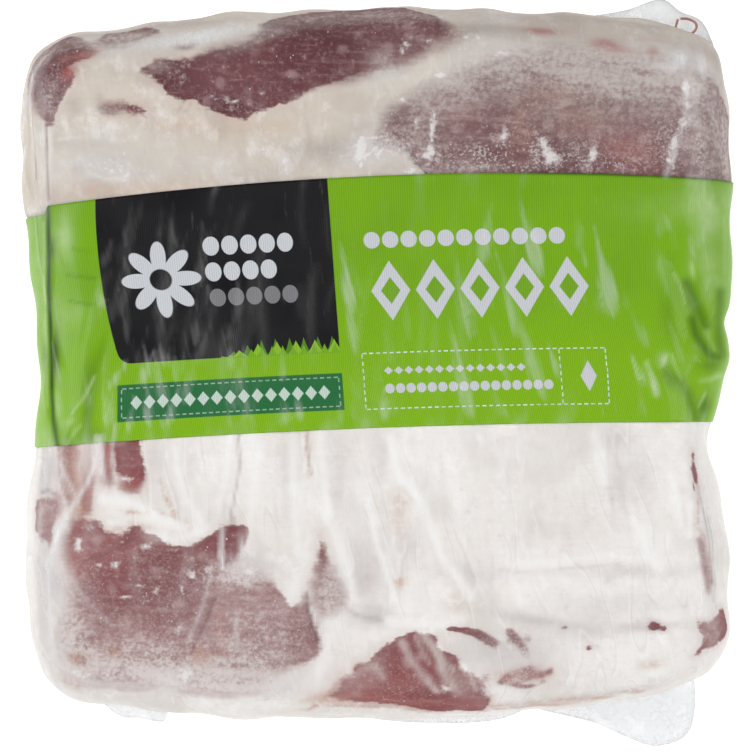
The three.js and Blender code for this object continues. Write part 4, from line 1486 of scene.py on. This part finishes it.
def new_path(name, lines):
    """A mesh that is only edges, along lines of points in mm."""
    edges = []
    first = 0
    for line in lines:
        edges += [(first + i, first + i + 1) for i in range(len(line) - 1)]
        first += len(line)
    mesh = bpy.data.meshes.new(name)
    mesh.from_pydata((np.concatenate(lines) * MM).tolist(), edges, [])
    return mesh


left, right, near, far = TEAL_STRIP
inset = STRIP_INSET
stitch_lines = rectangle(left + inset, right - inset, near + inset, far - inset)
stitch_lines += rectangle(*STITCH_FRAME)
stitch_lines.append(((STITCH_DIVIDER, STITCH_FRAME[2]), (STITCH_DIVIDER, STITCH_FRAME[3])))
on_surface = []
for start, end in stitch_lines:
    trim = LINE_END / math.dist(start, end)
    share = np.linspace(trim, 1 - trim, STEPS_A_LINE)
    along = start[0] + (end[0] - start[0]) * share
    across = start[1] + (end[1] - start[1]) * share
    on_surface.append(on_band(along, across))

# Stitches of the teal strip are greener than those of the frame at the right.
stitch_pale, tree = new_material("stitch_print")
place = millimetres()
shade = tint(rise(grain(place, 3), 0.3, 0.7), srgb(176, 206, 168), srgb(222, 230, 222))
along_place = add_node("ShaderNodeSeparateXYZ", {"Vector": place}).outputs[0]
shade = tint(times(rise(along_place, -8, -12), 0.6), shade, srgb(70, 138, 96))
finish_material({"Base Color": shade, "Roughness": 0.55})

tree, socket = node_group("stitches_along_lines", {
    "Pitch": "NodeSocketFloat",
    "Dash": "NodeSocketVector",
})
lines = add_node("GeometryNodeMeshToCurve", {"Mesh": socket["Geometry"]})
inputs = {"Curve": lines.outputs[0], "Length": socket["Pitch"]}
spaced = add_node("GeometryNodeResampleCurve", inputs, mode="LENGTH")
tangent = add_node("GeometryNodeInputTangent")
inputs = {"Vector": tangent.outputs[0]}
facing = add_node("FunctionNodeAlignRotationToVector", inputs, axis="X", pivot_axis="Z")
dash = add_node("GeometryNodeMeshCube", {"Size": socket["Dash"]})
placed = add_node("GeometryNodeInstanceOnPoints", {
    "Points": spaced.outputs[0],
    "Instance": dash.outputs["Mesh"],
    "Rotation": facing.outputs[0],
})
finish_group(placed.outputs[0], stitch_pale)

stitches = grown("printed_stitches", new_path("stitch_path", on_surface), {
    "Pitch": DASH_PITCH * MM,
    "Dash": [side * MM for side in DASH],
})
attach(stitches, "root")


# The clear bag: thin film sucked down on band and block, with sharp little wrinkles and a milky
# haze where it is creased or where air is left under it, and painted sheen along its wrinkles and
# over the band. One closed skin just outside the rest.
FILM_STAND = 0.3
FILM_CELLS = 224
FILM_SIDE_ROWS = 32
FILM_UNDER_ROWS = 9

# Painted sheens where the film stands off the band and catches the light, pale like flames:
# tip, foot, width, strength.
SHEENS = [
    # right of the panel
    ((46.6, 57.6), (53.6, 32.7), 6, 0.24), ((37.2, 56), (34.6, 36.9), 5.4, 0.2),
    ((38.2, 40.8), (46.6, 13.3), 4.6, 0.22), ((44, 24.6), (54.7, -6.5), 5.6, 0.2),
    ((25.6, 40.8), (30.4, 13.3), 4, 0.2), ((23, 18.8), (31.7, -14.9), 5.6, 0.2),
    ((70.6, 48.9), (77, 19.8), 6.6, 0.24),
    # by the stitched frame
    ((55, 11.7), (59.6, 0), 3, 0.24), ((46.6, 14.9), (52.5, 0.3), 5.4, 0.24),
    ((82.9, 6.8), (86.6, -3), 2.8, 0.3), ((87.4, 4.4), (91.4, -6), 2.6, 0.3),
    # beside the panel
    ((-12, 44), (-7, 20), 4.4, 0.28), ((-10, 30), (-6, 8), 4.4, 0.2),
    # left and near edge
    ((-91, 28), (-88, 22), 3, 0.26), ((-80, 6), (-86, -4), 3.4, 0.26),
    ((-72, 8), (-76, -3), 4.4, 0.24), ((-64, -4), (-68, -17), 4, 0.26),
    ((-78, -6), (-80.6, -20), 2.8, 0.3), ((2, 0), (3.6, -16), 4.6, 0.26),
]
# More of them, drawn at random: middle, spread, number, length, lean, width, strength.
SHEEN_GROUPS = [
    ((-60, 0), (48, 13), 30, (6, 16), 6, (1.8, 4.6), (0.1, 0.26)),
    ((14, 16), (26, 26), 16, (9, 24), 14, (1.8, 4.6), (0.04, 0.13)),
    ((80, 20), (26, 34), 22, (6, 16), 12, (1.6, 4), (0.05, 0.16)),
    ((-65, 40), (21, 24), 36, (7, 22), -6, (1.8, 4.4), (0.02, 0.09)),
]
SHEEN_SEED = 5
SHEEN_LEAN_SPREAD = 7


def sheen_outline(tip, foot, width):
    """A flame: thin at its tip, and widest two thirds of the way to its foot."""
    tip = np.array(tip, float)
    along = np.array(foot) - tip
    aside = np.array([along[1], -along[0]]) / np.hypot(*along) * width / 2
    right_side = [(0, 0), (0.35, 0.45), (0.7, 1), (0.95, 0.7), (1.05, 0)]
    left_side = [(0.9, -0.5), (0.7, -0.8), (0.35, -0.4)]
    return [tuple(tip + along * share + aside * wide) for share, wide in right_side + left_side]


def draw_sheens():
    """Every sheen as its outline and strength, the drawn ones first."""
    random = np.random.default_rng(SHEEN_SEED)
    drawn = [(sheen_outline(*shape), strength) for *shape, strength in SHEENS]
    for middle, spread, number, length, lean, width, strength in SHEEN_GROUPS:
        for _ in range(number):
            tip = [middle[i] + random.uniform(-1, 1) * spread[i] for i in range(2)]
            turn = math.radians(lean + random.normal() * SHEEN_LEAN_SPREAD)
            reach = random.uniform(*length)
            foot = (tip[0] + reach * math.sin(turn), tip[1] - reach * math.cos(turn))
            outline = sheen_outline(tip, foot, random.uniform(*width))
            drawn.append((outline, random.uniform(*strength)))
    return drawn


film_clear, tree = new_material("clear_film")
streaky = grain(millimetres((0.7, 7, 1), 14), 2.4, 2)
cloudy = grain(millimetres((0.8, 5, 1), 5), 2.4, 3, 0.6)
milk = times(field("milk"), scaled(cloudy, 1.5, 0.15))
sheen = rise(plus(field("sheen"), swing(streaky, 3.4)), -0.9, 1.9)
sheen = times(sheen, field("sheen_strength"))
milk = plus(milk, times(sheen, plus(streaky, 0.45)))
wisps = rise(plus(cloudy, swing(streaky, 0.3)), 0.62, 0.85)
finish_material({
    "Base Color": srgb(234, 234, 235),
    "Roughness": 0.3,
    "Normal": bumped(streaky, 0.4, 0.2),
}, milk=scaled(wisps, 0.06, milk, clamp=True))

MILKY = [
    # on the band
    (110, 52, 5, 10, 0.12), (94, 5.4, 2, 2, 0.25), (-112.4, 30, 4.2, 30, 0.06),
    (-101.5, 46, 3.4, 8, 0.12),
    # far right
    (99.7, 104.3, 2.6, 2.5, 0.9), (96, 101, 5, 1.8, -6, 0.5), (108.4, 103, 3.4, 4.4, 0.7),
    (104, 90, 1.6, 9, 4, 0.3), (113.6, 86, 2.2, 14, 2, 0.16),
    # far rim, a painted sheen of the film's gloss
    (-58, 112.8, 18, 4, 12, 0.75),
    # left margin and near left
    (-111, 76, 2.2, 26, 0.22), (-116, 84, 2, 22, 0.16), (-119, 100, 3, 12, -14, 0.25),
    (-109.6, -29, 4.4, 8, 0.3), (-95.5, -28, 2, 6, -4, 0.52), (-109, -74, 3, 14, 8, 0.25),
    # right side and near left streaks
    (112, -50, 2, 26, 4, 0.3), (-43.6, -57, 0.9, 5, 8, 0.5), (-50.6, -57, 0.7, 6, 6, 0.5),
]
# Folds of film that cross the meat as milky strands.
MILKY_LINES = [
    # near left
    ((-91.4, -20), (-92.2, -30), (-95, -36), (-99, -42), (-103, -49), (-106, -58), 0.9, 0.6),
    ((-103.6, -28), (-99.4, -37), (-97.6, -40), 0.8, 0.5),
    ((-106, -58), (-107.6, -68), (-107, -80), 1.3, 0.3),
    ((-112, -44), (-112.6, -58), (-111, -72), 1.4, 0.3), ((-89.6, -20), (-89.8, -32), 0.9, 0.5),
    ((-85, -16), (-86.4, -24), (-86, -30), 0.7, 0.3),
    # valleys and frosty muscle
    ((-53.8, -64), (-55.4, -71), (-57.4, -77), (-61.6, -87), 0.7, 0.34),
    ((-49.8, -50), (-50.8, -58), (-50.2, -63), 0.6, 0.55), ((-45.8, -79), (-45.6, -89), 0.8, 0.35),
    ((-21, -76), (-18.6, -84), 0.6, 0.7),
    # heel and foot
    ((-100, -66), (-94, -74), (-86, -82), 0.8, 0.2),
    ((-104, -96), (-94, -101), (-80, -103), 1.6, 0.25),
    # left margin and far left
    ((-106.2, 80), (-106.4, 72), (-106.1, 60), 0.7, 0.25),
    ((-117, 100), (-117.4, 92), (-115.4, 82), 1, 0.3),
    # right
    ((95, 66), (98, 74), (101, 84), (102, 96), 1, 0.35),
    ((104.6, -56), (107, -68), (106.6, -80), 0.9, 0.4),
]
RIDGE_SHEEN = 0.22
CLEARER_ON_BAND = 0.14
SIDE_MILK = 0.12
MOST_MILK = 0.9
SHEEN_REACH = 4
film_grid, film_faces = skin_grid(FILM_CELLS, FILM_SIDE_ROWS, FILM_UNDER_ROWS)
film_points = skin_points(film_grid, -FILM_STAND)
film = new_piece("clear_bag", film_points, film_faces, film_clear)
film_normals = point_normals(film)
film_flat = unrolled(film_points, film_normals)
film_drawn = film_flat / DRAWN_SCALE
upward = smooth(film_normals[:, 2], -0.2, 0.5)
ridges = wrinkle_height(film_flat[:, 0], film_flat[:, 1])
# Along the wrinkles' ridges the milk is a painted sheen, where they catch the light; less over the
# band.
ridge_sheen = RIDGE_SHEEN - CLEARER_ON_BAND * under_band(film_points)
milk_field = blots(film_drawn, MILKY) + ridge_sheen * np.clip(ridges, 0, 0.6)
milk_field += strokes(film_drawn, MILKY_LINES)
set_field(film, "milk", np.clip(milk_field * upward + SIDE_MILK * (1 - upward), 0, MOST_MILK))
sheen_depth = np.full(len(film_points), -float(SHEEN_REACH))
sheen_strength = np.zeros(len(film_points))
for outline, strength in draw_sheens():
    depth = depth_inside(film_flat, outline, SHEEN_REACH)
    stronger = depth > sheen_depth
    sheen_depth[stronger] = depth[stronger]
    sheen_strength[stronger] = strength
set_field(film, "sheen", sheen_depth)
set_field(film, "sheen_strength", sheen_strength * upward * under_band(film_points))
film_rise = ridges * upward + 0.1 * lumps(film_points, 9, 31)
film_rise += PALE_RISE * strokes(film_drawn, SHINE_LINES) * upward
film_rise -= SEAM_DEPTH * strokes(film_drawn, SEAM_AND_SHADE_LINES) * upward
film_rise += RIDGE_HEIGHT * strokes(film_points[:, :2], BAND_RIDGES) * upward
film_rise *= smooth(film_points[:, 2], 0, 5)
moved_out(film, film_points, film_normals, film_rise, 0)
film.visible_shadow = False
film.visible_diffuse = False
film.visible_glossy = False
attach(film, "root")
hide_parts("vacuum_pack")


# The bag's corners and hems: flat film that stands out past the block, where nothing fills the
# bag. Each runs from a root line inside the block to a smooth outer edge, and ripples.
FLAP_THICKNESS = 0.3
FLAP_CELLS = (90, 30)
FLAP_CRINKLES = [(0.35, 9, 41), (0.25, 4.5, 42)]  # height, spacing and seed
FILM_FLAPS = {
    "far_right_corner": {
        "root": ((64, 104), (100, 90)),
        "outer": [
            (68, 117.8), (82, 120.4), (93.5, 124), (100, 120), (107, 117), (110.6, 110),
            (112.4, 99)],
        "heights": (27, 33), "ripple": 1.1, "ripples": 2.5, "milk": 0.38},
    "near_right_corner": {
        "root": ((50, -98), (92, -86)),
        "outer": [
            (52, -111), (72, -116), (84, -121), (94, -124), (104, -120.5), (107, -111), (106, -96)],
        "heights": (20, 7), "ripple": 1.4, "ripples": 2.5, "milk": 0.3},
    "near_left_tab": {
        "root": ((-92, -100), (-66, -103)),
        "outer": [(-95, -106), (-86, -113.2), (-79, -114.3), (-71, -115.4), (-69, -110)],
        "heights": (22, 12), "ripple": 0.6, "ripples": 1, "milk": 0.3},
    "near_middle_hem": {
        "root": ((-12, -104), (48, -102)),
        "outer": [(-14, -112), (6, -114.8), (24, -115.6), (40, -114.4), (52, -110)],
        "heights": (24, 17), "ripple": 0.6, "ripples": 1.5, "milk": 0.3},
}


def open_curve(corners, steps=24):
    """A smooth curve through the corners, as close points, and how far along each lies."""
    corner = np.array(corners, float)
    corner = np.concatenate([[2 * corner[0] - corner[1]], corner, [2 * corner[-1] - corner[-2]]])
    curve = bend(corner[:-3], corner[1:-2], corner[2:-1], corner[3:], steps)
    points = np.concatenate([curve, corner[-2:-1]])
    steps_between = np.linalg.norm(np.diff(points, axis=0), axis=1)
    travel = np.concatenate([[0], np.cumsum(steps_between)])
    return points, travel / travel[-1]


def film_flap(flap):
    """A flap as points and faces: a thin closed sheet, its upper face first."""
    cells, rows = FLAP_CELLS
    along = np.linspace(0, 1, cells + 1)
    outward = np.linspace(0, 1, rows + 1)
    curve, travel = open_curve(flap["outer"])
    outer = np.stack([np.interp(along, travel, curve[:, i]) for i in range(2)], -1)
    start, end = np.array(flap["root"])
    root = start + (end - start) * along[:, None]
    plan = root[:, None] + (outer - root)[:, None] * outward[None, :, None]
    ripple = np.sin(along * flap["ripples"] * 2 * math.pi)[:, None] * outward
    low, high = flap["heights"]
    z = low + (high - low) * outward + flap["ripple"] * ripple
    middle = np.concatenate([plan, z[..., None]], -1).reshape(-1, 3)
    flat = middle * (1, 1, 0)
    crinkle = sum(high * lumps(flat, spacing, seed) for high, spacing, seed in FLAP_CRINKLES)
    middle[:, 2] += crinkle * np.tile(smooth(outward, 0.1, 0.5), cells + 1)
    lift = np.array([0, 0, FLAP_THICKNESS / 2])
    index = np.arange((cells + 1) * (rows + 1)).reshape(cells + 1, rows + 1)
    cell = [index[:-1, :-1], index[:-1, 1:], index[1:, 1:], index[1:, :-1]]
    upper = np.stack(cell, -1).reshape(-1, 4)
    lower = upper[:, ::-1] + index.size
    rim = rim_of(index)
    following = np.roll(rim, -1)
    sides = np.stack([following, rim, rim + index.size, following + index.size], -1)
    points = np.concatenate([middle + lift, middle - lift])
    return points, np.concatenate([upper, lower, sides]).tolist(), outward


flap_clear, tree = new_material("film_corner")
crumple = grain(millimetres(), 8, 3, 0.55)
creases = rise(away_from(crumple, 0.5), 0.03, 0)
milk = times(field("milk"), scaled(crumple, 0.8, 0.6))
finish_material({
    "Base Color": tint(crumple, srgb(178, 184, 188), srgb(214, 218, 221)),
    "Roughness": 0.2,
    "Normal": bumped(crumple, 0.4, 0.8),
}, milk=scaled(creases, 0.05, milk, clamp=True))
for name, flap in FILM_FLAPS.items():
    points, faces, outward = film_flap(flap)
    piece = new_piece("film_" + name, points, faces, flap_clear)
    rim_milk = flap["milk"] * (1 + 0.3 * smooth(outward, 0.93, 1))
    set_field(piece, "milk", np.tile(rim_milk, len(points) // len(outward)))
    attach(piece, "root")


# Meat juice caught in the far right corner of the bag: thin brown-red threads between the two
# films, swept along curves that lie in the flap.
JUICE_RADIUS = 0.42
THREAD_SIDES = 8
JUICE_PATHS = {
    "left leg": [(99.2, 117.2, 35), (98.4, 114.4, 35), (97.8, 112.2, 35)],
    "arch": [
        (100, 117.4, 35), (102.6, 117.3, 35), (105, 116, 34.8), (105.2, 114, 34.6),
        (103, 111.8, 34.6)],
    "edge thread": [(109.2, 108.6, 34), (110.8, 106.6, 33.6), (111.8, 104.4, 33)],
}
juice_lines = [open_curve(corners)[0] for corners in JUICE_PATHS.values()]

juice_red, tree = new_material("dried_juice")
shade = tint(grain(millimetres(), 2), srgb(150, 84, 72), srgb(196, 148, 136))
finish_material({"Base Color": shade, "Roughness": 0.35})

tree, socket = node_group("threads_of_juice", {"Radius": "NodeSocketFloat"})
lines = add_node("GeometryNodeMeshToCurve", {"Mesh": socket["Geometry"]})
inputs = {"Resolution": THREAD_SIDES, "Radius": socket["Radius"]}
section = add_node("GeometryNodeCurvePrimitiveCircle", inputs)
swept = add_node("GeometryNodeCurveToMesh", {
    "Curve": lines.outputs[0],
    "Profile Curve": section.outputs[0],
    "Fill Caps": True,
})
finish_group(swept.outputs[0], juice_red)
juice_path = new_path("juice_path", juice_lines)
juice = grown("dried_juice", juice_path, {"Radius": JUICE_RADIUS * MM})
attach(juice, "root")
